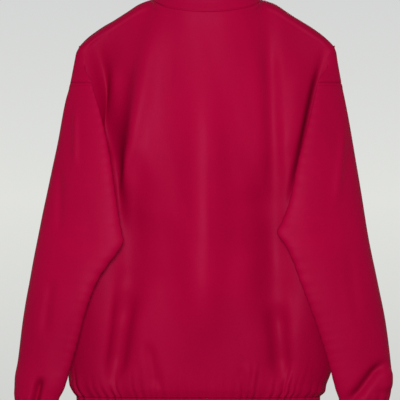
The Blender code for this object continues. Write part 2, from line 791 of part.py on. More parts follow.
def shoulder_offset(x, distance):
    """Point at a distance under the shoulder line, square to it, as x and drop."""
    step = 0.0005
    slope = (SHOULDER.read("drop", x + step) - SHOULDER.read("drop", x - step)) / (2 * step)
    angle = math.atan(slope)
    return x - distance * math.sin(angle), SHOULDER.read("drop", x) + distance * math.cos(angle)


def bar_points():
    """Middle line of the hanger's bar from its centre to one end."""
    sink = CLOTH_WALL + BAR_CLEARANCE + BAR_RADIUS
    first_x, first_drop = shoulder_offset(BAR_NECK_X, sink + BAR_NECK_DIP)
    dip_start, dip_end = BAR_DIP_SPAN
    points = []
    for i in range(BAR_STEPS // 2):
        x = first_x * i / (BAR_STEPS // 2)
        points.append(at(x, 0, first_drop - BAR_RISE * (1 - (x / first_x) ** 2)))
    for i in range(BAR_STEPS + 1):
        x = BAR_NECK_X + (BAR_END_X - BAR_NECK_X) * i / BAR_STEPS
        dip = BAR_NECK_DIP * smooth((dip_end - x) / (dip_end - dip_start))
        x, drop = shoulder_offset(x, sink + dip)
        points.append(at(x, 0, drop))
    return points


def tube(name, points, radius, resolution, material, collection):
    """Round bar along points, as a curve with filled ends."""
    curve = bpy.data.curves.new(name, "CURVE")
    curve.dimensions = "3D"
    curve.bevel_depth = radius
    curve.bevel_resolution = resolution
    curve.use_fill_caps = True
    spline = curve.splines.new("POLY")
    spline.points.add(len(points) - 1)
    for target, point in zip(spline.points, points):
        target.co = (*point, 1.0)
    curve.materials.append(material)
    thing = bpy.data.objects.new(name, curve)
    collection.objects.link(thing)
    return thing


def hook_points():
    """Middle line of the hook's wire, from its tip round to the top of its straight shank."""
    radius = HOOK_INSIDE + HOOK_WIRE
    points = []
    for i in range(HOOK_STEPS + 1):
        angle = math.radians(HOOK_TIP_ANGLE + (HOOK_SIDE_ANGLE - HOOK_TIP_ANGLE) * i / HOOK_STEPS)
        points.append(Vector((radius * math.cos(angle), 0, radius * math.sin(angle) - HOOK_INSIDE)))
    way = Vector((-math.sin(angle), 0, math.cos(angle)))
    shank = Vector((0, 0, -SHANK_TOP))
    bend = (points[-1], points[-1] + way * SHANK_BEND, shank + Vector((0, 0, SHANK_BEND)), shank)
    return points + [bezier(bend, (i + 1) / SHANK_STEPS) for i in range(SHANK_STEPS)]


def make_hanger(wood, steel, collection):
    half = bar_points()
    mirrored = [Vector((-p.x, p.y, p.z)) for p in half[:0:-1]]
    tube("hanger_bar", mirrored + half, BAR_RADIUS, 2, wood, collection)
    bar_top = half[0].z + BAR_RADIUS
    points = hook_points() + [Vector((0, 0, bar_top + SHANK_CLEARANCE))]
    tube("hanger_hook", points, HOOK_WIRE, 2, steel, collection)


def box(name, low, high, material, collection):
    bpy.ops.mesh.primitive_cube_add(size=1.0)
    thing = bpy.context.object
    thing.name = name
    for vertex in thing.data.vertices:
        vertex.co = [a + (b - a) * (c + 0.5) for a, b, c in zip(low, high, vertex.co)]
    thing.data.materials.append(material)
    for old in list(thing.users_collection):
        old.objects.unlink(thing)
    collection.objects.link(thing)
    return thing


def slider_place():
    """Middle of the slider's rear face, just in front of the closed tapes."""
    level = -HOOK_RISE - SLIDER_DROP
    foot = level - SLIDER.z / 2
    line = tape_line()
    upper, lower = next((a, b) for a, b in zip(line, line[1:]) if a.z >= foot > b.z)
    share = (upper.z - foot) / (upper.z - lower.z)
    return Vector((0, upper.y + (lower.y - upper.y) * share - SLIDER_CLEARANCE, level))


def make_slider(steel, parts, cutters):
    """Slider plate with a bridge, under which the pull's bar turns."""
    place = slider_place()
    half = SLIDER.x / 2
    plate = box("zip_slider", (-half, place.y - SLIDER.y, place.z - SLIDER.z / 2),
                (half, place.y, place.z + SLIDER.z / 2), steel, parts)
    face = place.y - SLIDER.y
    reach = EYE / 2 + BRIDGE_POST
    bridge = box("slider_bridge", (-BRIDGE_WIDTH / 2, face - EYE - BRIDGE_POST, place.z - reach),
                 (BRIDGE_WIDTH / 2, face + SLIDER.y / 2, place.z + reach), steel, cutters)
    eye = box("slider_eye", (-BRIDGE_WIDTH, face - EYE, place.z - EYE / 2),
              (BRIDGE_WIDTH, face, place.z + EYE / 2), steel, cutters)
    for cutter, operation in ((bridge, "UNION"), (eye, "DIFFERENCE")):
        cutter.hide_render = True
        cutter.display_type = "WIRE"
        modifier = plate.modifiers.new(operation.lower(), "BOOLEAN")
        modifier.operation = operation
        modifier.object = cutter
    return Vector((0, face - EYE / 2, place.z))


def make_pull(pivot, steel, collection):
    """Flat tab with a window, hung by its top bar; its origin is the hinge."""
    curve = bpy.data.curves.new("zip_pull", "CURVE")
    curve.dimensions = "2D"
    curve.fill_mode = "BOTH"
    curve.extrude = PULL.y / 2
    half = PULL.x / 2
    top = PULL_BAR / 2
    foot = top - PULL.z + half
    arc = [(half * math.cos(a), foot + half * math.sin(a))
           for a in (-math.pi * i / PULL_ARC_STEPS for i in range(PULL_ARC_STEPS + 1))]
    outline = [(-half, top), (half, top)] + arc
    w, low = PULL_WINDOW.x / 2, -top - PULL_WINDOW.z
    window = [(-w, -top), (-w, low), (w, low), (w, -top)]
    for points in (outline, window):
        spline = curve.splines.new("POLY")
        spline.points.add(len(points) - 1)
        for target, (x, z) in zip(spline.points, points):
            target.co = (x, z, 0, 1)
        spline.use_cyclic_u = True
    curve.materials.append(steel)
    pull = bpy.data.objects.new("zip_pull", curve)
    pull.location = pivot
    pull.rotation_euler = (math.pi / 2, 0, 0)
    collection.objects.link(pull)
    return pull


def main():
    for thing in list(bpy.data.objects):
        bpy.data.objects.remove(thing, do_unlink=True)
    parts = bpy.data.collections.new("windbreaker_on_hanger")
    cutters = bpy.data.collections.new("cutters")
    for collection in (parts, cutters):
        bpy.context.scene.collection.children.link(collection)
    nylon = make_material("nylon", CRIMSON, 0.55)
    ribbed = make_material("band", CRIMSON, 0.65)
    tape = make_material("tape", DARK_CRIMSON, 0.75)
    steel = make_material("steel", STEEL, 0.30, 1.0)
    wood = make_material("wood", PALE_WOOD, 0.45)

    cloth = [make_back(nylon)]
    for side in (LEFT, RIGHT):
        cloth += [make_front(side, nylon), make_sleeve(side, nylon), make_cuff(side, ribbed)]
    cloth += [make_collar(nylon), make_band(ribbed)]
    normals, walls = corner_normals(cloth), seam_walls(cloth)
    for piece in cloth:
        build_wall(piece, normals, walls, parts)
    for side in (LEFT, RIGHT):
        piece = make_tape(side, tape)
        build_wall(piece, corner_normals([piece]), seam_walls([piece]), parts)
    make_hanger(wood, steel, parts)
    pivot = make_slider(steel, parts, cutters)
    make_pull(pivot, steel, parts)


main()
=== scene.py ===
"""Looks of the windbreaker: fine cloth with its folds, gathers and stitches, the zip and the hanger.

Metres, +Z up, the garment's back towards +Y, the wearer's left at +X. "drop" is the height below
the point where the collar meets the shoulder line: every section of the garment is named by it.
"""
import math

import bpy
import numpy as np
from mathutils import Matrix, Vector, noise


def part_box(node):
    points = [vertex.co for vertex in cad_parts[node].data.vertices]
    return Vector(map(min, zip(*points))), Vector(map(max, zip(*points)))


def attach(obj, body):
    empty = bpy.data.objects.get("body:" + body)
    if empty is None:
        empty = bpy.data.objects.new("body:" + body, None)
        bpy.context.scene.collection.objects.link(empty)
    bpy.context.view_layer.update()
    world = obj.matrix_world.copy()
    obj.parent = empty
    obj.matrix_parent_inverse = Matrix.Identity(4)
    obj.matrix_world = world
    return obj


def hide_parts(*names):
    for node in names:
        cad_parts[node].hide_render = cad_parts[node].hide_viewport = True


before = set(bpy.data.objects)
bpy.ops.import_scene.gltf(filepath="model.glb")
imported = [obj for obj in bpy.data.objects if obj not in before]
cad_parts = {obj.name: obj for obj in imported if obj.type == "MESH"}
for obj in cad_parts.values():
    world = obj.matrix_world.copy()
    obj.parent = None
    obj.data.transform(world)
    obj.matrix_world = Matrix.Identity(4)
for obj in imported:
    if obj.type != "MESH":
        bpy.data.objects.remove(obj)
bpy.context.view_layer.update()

LEFT, RIGHT = 1, -1
HOOK_RISE = 0.105            # from the neck point up to the inside top of the hook

# Neck and shoulder line
NECK_HALF = 0.0954
BACK_NECK = Vector((0.045, 0.0235))     # depth behind the neck points, drop below them
FRONT_NECK = Vector((0.055, 0.085))
NECK_CURVE = {"back": 1.2, "front": 1.5}    # power of the seam's drop, flatter near the neck points if over 1
TIP = Vector((0.2225, 0.080))           # half width and drop of the shoulder tips
RIDGE_RADIUS = 0.011                    # of the cloth where it lies over the hanger
ZIP_EDGE = 0.0078                       # from the middle to the cloth beside the zip

# Levels, as drops
TOP_ZONE_END = 0.24          # down to here the sections still follow the sloping shoulder
ARMHOLE_TOP = 0.145
ARMPIT = 0.413
BODY_HEM = 0.695
BAND_HEM = 0.735
SLEEVE_HEM = 0.712
CUFF_HEM = 0.742
NECK_SHARE = 0.263           # curve value of the column that starts at the neck point
LEVEL_SHARE = 0.6            # share of the half width that a section's middle keeps level
ARM_EDGE = 0.8               # curve value from which the top of a front follows the armhole
OPENING_REACH = 0.045        # over which the sleeve's curves open below the armhole's top
CAP_LEAD = 0.004             # how far the shoulder's cloth runs straight from the back's edge

# Hanger
BAR_RADIUS = 0.0072
BAR_DEPTH = 0.0093           # of the bar's middle under the top of the cloth
BAR_RISE = 0.0143            # of the bar's middle above the place where it passes the neck
BAR_NECK_X = 0.1014          # where it passes under the neck seam
BAR_NECK_DIP = 0.0035        # extra depth there
BAR_DIP_SPAN = (0.101, 0.135)    # from x to x the extra depth fades
BAR_END_X = 0.2090
HOOK_WIRE = 0.0019
HOOK_INSIDE = 0.019
HOOK_TIP_ANGLE = -25.0
HOOK_SIDE_ANGLE = 200.0
SHANK_TOP = 0.060            # below the origin
SHANK_BEND = 0.015           # how far the wire runs straight into the bend over the shank
SHANK_CLEARANCE = 0.0003     # from its foot to the bar
BAR_ROUNDING, WIRE_ROUNDING = 0.0060, 0.0015    # length over which the ends are rounded off
HOOK_COLLAR = ((0.0004, 0.0046), (0.0008, 0.0052), (0.0022, 0.0048), (0.0028, 0.0024))    # rises and radii

# Collar
COLLAR_HEIGHTS = {"back": 0.066, "side": 0.056, "front": 0.068}
COLLAR_LEAN = 0.06           # share by which the collar's top is narrower than the neck

# Zip
TAPE = {"gap": 0.0002, "under": 0.0012, "depth": 0.0004, "bow": 0.0008, "columns": 7}
TOOTH = {"pitch": 0.0021, "height": 0.0014, "inner": -0.0010, "outer": 0.0026, "depth": 0.0011,
         "sunk": -0.0004, "shoulder": 0.6, "chamfer": 0.0003}
SLIDER_DEPTH = 0.0026
SLIDER_SHAPE = ((0.62, 1.0), (0.96, 0.86), (1.0, 0.62), (0.86, 0.30), (0.70, 0.0))    # half widths and heights
BRIDGE_HALF, BRIDGE_WALL, BRIDGE_REACH = 0.0015, 0.0013, 0.0029
BRIDGE_ARCH = ((-0.0009, 0.9), (0.35, 0.98), (0.78, 0.80), (1.0, 0.40),
               (1.0, -0.40), (0.78, -0.80), (0.35, -0.98), (-0.0009, -0.9))    # how far out and up, as shares
PULL_BAR, PULL_WINDOW, PULL_ROUND = 0.0016, (0.0044, 0.0044), 0.0003
PULL_TOP, PULL_CORNER = 0.75, 0.0014    # share of the half width at the top edge, and drop of its corner
PULL_WAIST = (0.80, 0.55)        # share of the half width there, and share of the length from the top
PULL_HOLE = (0.0016, 0.0004)     # radius, and how far it lies below the middle of the foot's arc
BRIDGE_LEAN = (0.3, 0.8)         # how the bridge's wall turns along its arch
SLIDER_BEVEL, BRIDGE_BEVEL = 0.0005, 0.0003
FIRST_ZIP_ROW = 6                # first of the body's rows that the zip's line follows

# Colours, linear
CRIMSON = (0.262, 0.0001, 0.0240)
STEEL = (0.560, 0.560, 0.570)
PALE_WOOD = (0.520, 0.340, 0.180)
CLOTH_GLOSS = {"Specular_IOR_Level": 0.08, "Specular_Tint": (1.0, 0.30, 0.60, 1.0)}
CLOTHS = (    # name, share of the crimson, roughness, scale of the threads and share of the crumple
    ("crimson_nylon", 1.0, 0.50, 420.0, 0.55),
    # the bands' share of 0.92 is painted shade of their puckers: the same nylon as the body, darkened
    ("crimson_band", 0.92, 0.56, 420.0, 0.75),
    ("zip_tape", 0.62, 0.70, 300.0, 0.10),
    ("thread", 0.80, 0.60, 900.0, 0.05),
    ("zip_teeth", 0.70, 0.36, 300.0, 0.05))

# Stage: plain grey floor far below, pale room by height of the direction, lights, and the view from behind
FLOOR = {"half_size": 5.5, "z": -1.6, "colour": (0.34, 0.34, 0.335)}
SKY = ((-1.0, (0.16, 0.16, 0.16)), (-0.22, (0.38, 0.39, 0.38)), (-0.08, (0.64, 0.65, 0.63)),
       (0.0, (0.75, 0.76, 0.73)), (0.08, (0.66, 0.67, 0.665)), (1.0, (0.42, 0.42, 0.42)))
LIGHTS = (    # name, place, aim, size and power
    ("soft_key", (0.08, 1.25, -0.33), (0.0, 0.05, -0.42), 0.35, 16.0),
    ("fill_front", (-0.60, -2.40, 0.40), (0.0, 0.0, -0.45), 1.6, 30.0))
VIEW = {"place": (0.0122, 4.50, -0.455), "lens": 230.9}


class Table:
    """Rows with named columns, read between rows by a smooth curve that never overshoots.

    The rows are written in thousandths, so lengths in millimetres, and kept in metres.
    """

    def __init__(self, names, *rows):
        self.names = names.split()
        rows = [tuple(value if isinstance(value, str) else value / 1000 for value in row) for row in rows]
        self.keys = [row[0] for row in rows]
        self.columns = dict(zip(self.names, zip(*rows)))
        self.rows = [dict(zip(self.names, row)) for row in rows]

    def read(self, name, key):
        keys, values = self.keys, self.columns[name]
        if key <= keys[0]:
            return values[0]
        if key >= keys[-1]:
            return values[-1]
        last = max(i for i, k in enumerate(keys) if k <= key)
        span = keys[last + 1] - keys[last]
        t = (key - keys[last]) / span
        start, end = self.slope(values, last), self.slope(values, last + 1)
        return (values[last] * (1 + 2 * t) * (1 - t) ** 2 + values[last + 1] * t * t * (3 - 2 * t)
                + span * (start * t * (1 - t) ** 2 - end * t * t * (1 - t)))

    def slope(self, values, i):
        """Harmonic mean of the slopes on both sides of row i, zero at a turning point."""
        keys = self.keys
        before = (values[i] - values[i - 1]) / (keys[i] - keys[i - 1]) if i else None
        after = (values[i + 1] - values[i]) / (keys[i + 1] - keys[i]) if i + 1 < len(keys) else None
        if before is None or after is None:
            return after if before is None else before
        return 2 * before * after / (before + after) if before * after > 0 else 0.0


SHOULDER = Table(
    "x drop",
    (95.4, 0), (102.4, 1.5), (118, 7), (141, 21),
    (163.6, 35), (196, 56), (212.6, 70), (222.5, 80))

# Half widths of the outer edge of the shoulder and sleeve, and how far back that edge lies
OUTER = Table(
    "drop left right y",
    (80, 222.5, 222.5, 0),
    (92, 229, 227, 1),
    (105, 231.9, 229, 1),
    (145, 239.5, 236.2, 4),
    (175, 247.6, 242.4, 6),
    (245, 259.9, 254.6, 11),
    (350, 280.9, 272.1, 17),
    (420, 294.9, 282.6, 22),
    (490, 308.9, 296.6, 27),
    (560, 321.1, 310.6, 32),
    (630, 329.9, 319.4, 36),
    (662, 334.8, 322, 39),
    (682, 335.1, 319.4, 41),
    (700, 332.6, 314, 44),
    (712, 331.8, 310.4, 45),
    (742, 336, 314, 45))

# The sleeve's inner fold, which lies over the back
FOLD = Table(
    "drop left right y",
    (105, 211, 206, 16),
    (125, 206, 198.5, 20),
    (147, 200.4, 192.5, 24),
    (200, 184.5, 180.2, 34),
    (250, 173.3, 166.8, 42),
    (300, 164.8, 155.1, 49),
    (350, 157.3, 144.4, 54),
    (385, 151.3, 131.5, 57),
    (408, 146.2, 121.6, 60),
    (420, 143.5, 130, 61),
    (432, 148.7, 137.5, 62),
    (459, 168.9, 149.5, 62),
    (485, 186.4, 158.4, 62),
    (516, 200.4, 169.3, 62),
    (546, 210.9, 180.4, 60),
    (586, 221.4, 195, 57),
    (634, 235.4, 210.9, 54),
    (674, 247.6, 222.3, 51),
    (700, 259, 230.1, 49),
    (712, 260, 230.4, 48),
    (742, 264.2, 234, 48))

# Edge of the back panel: the seam in the valley under the sleeve, then the side seam
BACK_EDGE = Table(
    "drop left right y",
    (80, 222.5, 222.5, 11),
    (86, 218.8, 218, 11),
    (92, 216, 214.5, 11),
    (105, 212.5, 210.5, 11.5),
    (125, 212.5, 209.8, 12),
    (145, 213, 210, 13),
    (180, 212.5, 209.5, 16),
    (250, 214, 211, 22),
    (320, 219, 216, 24),
    (370, 226, 223, 18),
    (413, 242, 240, 3),
    (440, 243.5, 240, 1),
    (500, 246, 240, 0),
    (560, 248, 236, 0),
    (620, 247.5, 228, 0),
    (660, 243, 215, 0),
    (674, 241.5, 209.1, 0),
    (686, 235.5, 206.5, 0),
    (695, 229, 198, 0),
    (735, 228, 197, 0))

# Edge of the front panels where the sleeve is sewn on, between the outer edge and the armpit
FRONT_EDGE = Table(
    "drop left right y",
    (145, 239.5, 236.2, 4),
    (180, 241.5, 238.5, -8),
    (250, 245.5, 242.5, -13),
    (320, 248, 245, -12),
    (370, 247, 244, -6),
    (413, 242, 240, 3))

# Depths of the body in the middle, and how its sections turn in to their edges
BODY = Table(
    "drop back front back_turn_x back_turn_y front_turn_x front_turn_y",
    (80, 46, 55, 0, -4, 0, -6),
    (145, 47.5, 53, 0, -4, 0, -6),
    (180, 48, 52, 0, -4, -3, -6),
    (250, 48, 50, 0, -4, -9, -6),
    (320, 48.5, 49.5, -3, -2, -8, -6),
    (370, 49, 49, -10, 4, -6, -6),
    (413, 50, 48, -6, 11, 0, -15),
    (440, 50, 48, 0, 21, 0, -22),
    (500, 49.5, 48, 0, 28, 0, -28),
    (560, 48, 47.5, 0, 30, 0, -30),
    (640, 44, 44, 0, 28, 0, -28),
    (680, 40, 39, 0, 26, 0, -26),
    (695, 36, 35, 0, 25, 0, -25),
    (735, 35.5, 34.5, 0, 25, 0, -25))

# The sleeve's line under the arm, and how far its curves run straight from their ends
SLEEVE = Table(
    "drop under_left under_right under_y leave_x leave_y fold_in fold_out edge_rear edge_front join_x join_y",
    (105, 212.5, 210.5, 11.5, 0, 2, 2, 3, 6, 0, 0, 0),
    (145, 213, 210, 13, 0, 3, 5, 6, 10, 0, 0, 0),
    (180, 213, 210, 13, 0, 4, 7, 9, 13, 6, 3, 5),
    (250, 213, 210, 13, 0, 5, 10, 16, 20, 10, 8, 8),
    (320, 213, 210, 13, -2, 6, 12, 21, 25, 13, 8, 8),
    (370, 226, 223, 18, -3, 10, 13, 24, 28, 15, 10, 4),
    (413, 243.5, 241.5, 4.5, -8, 18, 14, 26, 30, 16, 15, -3),
    (440, 249, 245, 16, -18, 15, 13, 26, 30, 17, 20, -4),
    (500, 245.5, 242.5, 22, -25, 10, 12, 26, 30, 20, 22, -3),
    (560, 261, 250, 18, -25, 8, 13, 25, 29, 20, 21, -2),
    (620, 272, 257, 16, -25, 6, 15, 24, 28, 20, 20, 0),
    (670, 282, 264, 18, -22, 3, 18, 25, 27, 23, 20, 0),
    (712, 295.8, 270.4, 19, -20, 0, 18, 22, 23, 23, 20, 0),
    (742, 300, 274, 19, -20, 0, 18, 22, 23, 23, 20, 0))

# Slope of the sleeve's cross cuts, whose outer side is higher below the armpit
SLEEVE_TILT = Table("drop slope", (413, 0), (500, 100), (620, 210), (742, 240))

# Ridges and troughs of the back, each along a straight line. They fade in and out over shares of its length,
# and towards the panel's edge and the shoulder tips.
FOLD_OVERRUN, FOLD_FADE = 0.10, 0.35
FOLD_EDGE_FADE, FOLD_TOP_FADE = 0.35, 0.04
FOLDS = Table(
    "x_top drop_top x_end drop_end height half_width",
    (81.4, 21, 154.9, 333, 6, 16),
    (137.4, 105, 165.4, 263, -9, 20),
    (-107.6, 53, -118.1, 324, -4, 14),
    (-163.6, 105, -146.1, 263, 4, 20),
    (2.6, 175, 2.6, 578, 5, 35),
    (98.9, 376, 98.9, 508, -6, 30),
    (-76.1, 333, -84.9, 455, -7, 30),
    (137.4, 473, 165.4, 690, -7, 13),
    (-111.1, 499, -132.1, 690, -6, 13))


def smooth(t):
    t = min(max(t, 0.0), 1.0)
    return t * t * (3 - 2 * t)


def bezier(points, t):
    """Point at t of a cubic curve."""
    a, b, c, d = points
    s = 1 - t
    return a * s ** 3 + b * 3 * s * s * t + c * 3 * s * t * t + d * t ** 3


def side_name(side):
    return "left" if side == LEFT else "right"


def at(x, y, drop):
    """Place at a drop below the neck point."""
    return Vector((x, y, -HOOK_RISE - drop))


def mirrored(point):
    return Vector((-point.x, point.y, point.z))


def across(t):
    """Share of a section's half width that its curve has covered at t."""
    return bezier((0.0, 0.6, 1.0, 1.0), t)


def neck_line(u, face):
    """Neck seam from the middle (0) to the neck point (1), as x, y and drop."""
    turn = (1 - u) * math.pi / 2
    if face == "back":
        return (NECK_HALF * math.cos(turn), BACK_NECK.x * math.sin(turn),
                BACK_NECK.y * math.sin(turn) ** NECK_CURVE[face])
    return (ZIP_EDGE + (NECK_HALF - ZIP_EDGE) * math.cos(turn), -FRONT_NECK.x * math.sin(turn),
            FRONT_NECK.y * math.sin(turn) ** NECK_CURVE[face])


def top_line(t, face):
    """Upper edge of a panel at column t: the neck seam, then the shoulder seam."""
    if t < NECK_SHARE:
        return neck_line(t / NECK_SHARE, face)
    share = (across(t) - across(NECK_SHARE)) / (1 - across(NECK_SHARE))
    x = NECK_HALF + (TIP.x - NECK_HALF) * share
    return x, 0.0, SHOULDER.read("drop", x)


def ridge(depth):
    """Half thickness of the rounded shoulder ridge at a depth below its top."""
    depth = min(depth, RIDGE_RADIUS)
    return math.sqrt(max(depth * (2 * RIDGE_RADIUS - depth), 0.0))


def fold_height(x, drop):
    """Height of the back's ridges and troughs over its plain section."""
    total = 0.0
    for fold in FOLDS.rows:
        length = fold["drop_end"] - fold["drop_top"]
        u = (drop - fold["drop_top"]) / length
        middle = fold["x_top"] + (fold["x_end"] - fold["x_top"]) * u
        ends = smooth((u + FOLD_OVERRUN) / FOLD_FADE) * smooth((1 + FOLD_OVERRUN - u) / FOLD_FADE)
        total += fold["height"] * ends * math.exp(-((x - middle) / fold["half_width"]) ** 2)
    return total


def half_point(side, face, t, drop):
    """Outer surface of the back or a front at column t of the section at a drop."""
    name = side_name(side)
    if face == "back":
        start = Vector((0.0, BODY.read("back", drop)))
        edge = Vector((BACK_EDGE.read(name, drop), BACK_EDGE.read("y", drop)))
        turn = edge + Vector((BODY.read("back_turn_x", drop), BODY.read("back_turn_y", drop)))
    else:
        start = Vector((ZIP_EDGE, -BODY.read("front", drop)))
        edge = front_edge(side, drop)
        turn = edge + Vector((BODY.read("front_turn_x", drop), BODY.read("front_turn_y", drop)))
    level = Vector((LEVEL_SHARE * edge.x, start.y))
    section = bezier((start, level, turn, edge), t)
    if drop >= TOP_ZONE_END:
        x, y, real_drop = section.x, section.y, drop
    else:
        x, y, real_drop = top_zone_point(face, t, drop, section, edge.x)
    if face == "back":
        fading = smooth((1 - t) / FOLD_EDGE_FADE) * smooth((drop - TIP.y) / FOLD_TOP_FADE)
        y += fold_height(side * x, real_drop) * fading
    return at(side * x, y, real_drop)


def top_zone_point(face, t, drop, section, edge_x):
    """A section's point, moved towards the sloping neck and shoulder line above it."""
    top_x, top_y, top_drop = top_line(t, face)
    share = (drop - TIP.y) / (TOP_ZONE_END - TIP.y)
    level = smooth(share)
    out = math.sin(share * math.pi / 2)
    real_drop = drop - (TIP.y - top_drop) * (1 - level)
    x = (1 - level) * top_x * edge_x / TIP.x + level * section.x
    facing = 1 if face == "back" else -1
    rounding = smooth(2 * t / NECK_SHARE - 1)
    y = (1 - out) * (top_y + facing * rounding * ridge(real_drop - top_drop)) + out * section.y
    if face == "front":
        y += smooth((t - ARM_EDGE) / (1 - ARM_EDGE)) * (section.y - y)
    return x, y, real_drop


def front_edge(side, drop):
    """Edge of a front panel: the shoulder's outer edge, then the armhole, then the side seam."""
    if drop <= ARMHOLE_TOP:
        return outer_edge(side, drop)
    table = FRONT_EDGE if drop < ARMPIT else BACK_EDGE
    return Vector((table.read(side_name(side), drop), table.read("y", drop)))


def outer_edge(side, drop):
    """Outer edge of the shoulder and sleeve."""
    return Vector((OUTER.read(side_name(side), drop), OUTER.read("y", drop)))


def axis_x(side, drop):
    """Middle of the sleeve, seen from behind."""
    name = side_name(side)
    return (OUTER.read(name, drop) + FOLD.read(name, drop)) / 2


def tilted_x(side, drop, read):
    """Half width that a table gives where a tilted cross cut of the sleeve meets it."""
    slope = SLEEVE_TILT.read("slope", drop)
    level = drop
    for _ in range(4):
        level = drop - slope * (read(level) - axis_x(side, drop))
    return read(level)


def arm_points(side, drop):
    """Corner points of the sleeve's section and of the shoulder above it."""
    name = side_name(side)
    fold = Vector((tilted_x(side, drop, lambda level: FOLD.read(name, level)), FOLD.read("y", drop)))
    outer = Vector((tilted_x(side, drop, lambda level: OUTER.read(name, level)), OUTER.read("y", drop)))
    if drop < ARMPIT:
        seam = half_point(side, "back", 1.0, drop)
        start = Vector((side * seam.x, seam.y))
        return start, fold, outer, front_edge(side, drop)
    start = Vector((SLEEVE.read("under_" + name, drop), SLEEVE.read("under_y", drop)))
    return start, fold, outer, start


def collar_point(side, face, u, share):
    """Point of the collar over the neck seam at u, at a share of its height."""
    x, y, drop = neck_line(u, face)
    middle = math.sin((1 - u) * math.pi / 2) ** 2
    height = COLLAR_HEIGHTS["side"] + (COLLAR_HEIGHTS[face] - COLLAR_HEIGHTS["side"]) * middle
    lean = 1 - COLLAR_LEAN * share
    x = x * lean + ZIP_EDGE * (1 - lean) * (1 if face == "front" else smooth(u))
    return at(side * x, y * lean, drop - height * share)


# Fine grids: cells across each stretch of a section, and rows between named drops
NECK_CELLS, SHOULDER_CELLS = 24, 96
UNDER_CELLS, REAR_CELLS, FRONT_CELLS = 20, 44, 36
COLLAR_ROWS, BAND_ROWS, CUFF_ROWS = 20, 16, 12
GATHER_START = 0.640
FOLD_START = 0.100           # from here the shoulder's cloth turns into the sleeve's inner fold

# Smoothing of a panel's rows: rounds, the drop over which they begin, and the columns that it covers on
# each side of the neck point and of the middle. Then the share of a round's step, and the middle's share.
CALM_ROUNDS, CALM_REACH, CALM_FADE, MIDDLE_FADE = 90, 0.030, 11.0, 5.0
CALM_STEP, MIDDLE_CALM = 0.5, 0.5

# Relief, in metres
CLOTH_WALL, COLLAR_WALL, BAND_WALL, TAPE_WALL = 0.0007, 0.0020, 0.0018, 0.0008
GATHERS_BACK, GATHERS_FRONT, GATHERS_CUFF = 34, 17, 16
HEM_GATHERS = {"height": 0.0013, "length": 0.066}
CUFF_GATHERS = {"height": 0.0017, "length": 0.034}
# Unevenness of the gathers: share, rate and seed
GATHER_NOISE = {"place": (0.30, 0.7, 3.0), "height": (0.75, 0.9, 11.0), "length": (0.55, 0.8, 23.0)}
GATHER_SHARPNESS, GATHER_FADE = 1.1, 1.3
NOISE_SPAN = 1.6             # brings the noise to about -1 to 1
BAND_STRETCH = 0.30          # share of their drop by which the gathers fade in the bands
BAND_CRUMPLE = 0.35          # share of the crumple that the bands have
CRUMPLE_SEED = 7.0           # step of the seed from piece to piece
SEAM_DEPTH, SEAM_WIDTH = 0.0004, 0.0022
# Crumple: height, and rates of the noise across, in depth, down and aslant
CRUMPLES = ((0.0022, (11, 6, 3.2, 2.5)), (0.0006, (38, 20, 13, -9)))
YOKE = {"depth": 0.0160, "ridge": 0.0011, "width": 0.0045, "groove": 0.0007, "groove_width": 0.0022,
        "start": (0.098, 0.012), "end": (0.214, 0.010)}
NECK_SWELL, NECK_SWELL_REACH = 0.0012, 0.0100    # of the seam's bulk along the neck
NECK_SWELL_END = (0.004, 0.010)                  # how far past the neck point it ends, and over what length
PUCKER = {"height": 0.0008, "pitch": 0.017, "width": 9.0, "drift": 0.5, "column": 2, "even": 0.6}
REAR_FADE = 5.0              # columns over which a sleeve's creases fade in from the edges of its rear
STITCH = {"pitch": 0.0031, "length": 0.0022, "radius": 0.00032, "sides": 6, "rise": 0.35}
STITCH_PROFILE = ((-0.5, 0.35), (-0.28, 0.95), (0.28, 0.95), (0.5, 0.35))    # along, width
TOPSTITCH = 0.0045           # from a seam to the row of stitches beside it

# Creases seen from behind, each along a straight line, on one piece. The deep ones end above the hem's
# seam, so that the cloth stays on the band.
CREASE_OVERRUN, CREASE_FADE = 0.15, 0.40
CREASES = Table(
    "piece x_top drop_top x_end drop_end height half_width",
    ("back", 189, 98, 155, 385, -23, 15),
    ("back", -201, 108, -149, 350, -11.5, 8.5),
    ("back", 180, 74, 148, 300, -10, 26),
    ("back", 90, 30, 150, 330, 5, 19),
    ("back", -107.6, 60, -118.1, 330, -6.5, 14),
    ("back", 130, 290, 138, 540, -14, 33),
    ("back", -115, 290, -118, 560, -19, 35),
    ("back", 8, 130, 8, 600, 14, 38),
    ("back", 140, 520, 160.4, 655, -13, 19),
    ("back", -122, 540, -130.3, 655, -13, 19),
    ("back", 102.4, 604, 88.2, 676, -4, 9),
    ("back", -58, 645, -62, 692, -1.8, 4),
    ("back", -71, 636, -77, 692, 1.8, 5),
    ("back", -88, 650, -95, 692, -1.8, 4),
    ("front_left", 90, 150, 130, 640, -5, 20),
    ("front_left", 45, 260, 51.9, 676, 4, 17),
    ("front_left", 190, 300, 150, 600, -6, 18),
    ("front_left", 185, 470, 194.4, 676, 5, 16),
    ("front_right", -70, 140, -105, 560, -5, 21),
    ("front_right", -145, 220, -159.6, 676, 5, 20),
    ("front_right", -200, 330, -140, 560, -5.5, 16),
    ("front_right", -50, 480, -61.1, 676, -4, 15),
    ("sleeve_left", 289, 661, 300, 712, -14, 6),
    ("sleeve_left", 230.1, 192, 230.1, 289, 2.6, 5),
    ("sleeve_left", 256.4, 297, 256.4, 402, -2.8, 7),
    ("sleeve_left", 270, 490, 282.6, 577, -3, 8),
    ("sleeve_left", 240, 560, 265, 660, -2, 12),
    ("sleeve_right", -302, 632, -251.1, 697, -12, 8.5),
    ("sleeve_right", -318, 645, -312, 680, 4.5, 12),
    ("sleeve_right", -238.9, 227, -224.9, 350, 2.8, 7),
    ("sleeve_right", -245, 430, -260, 560, -1.6, 10))


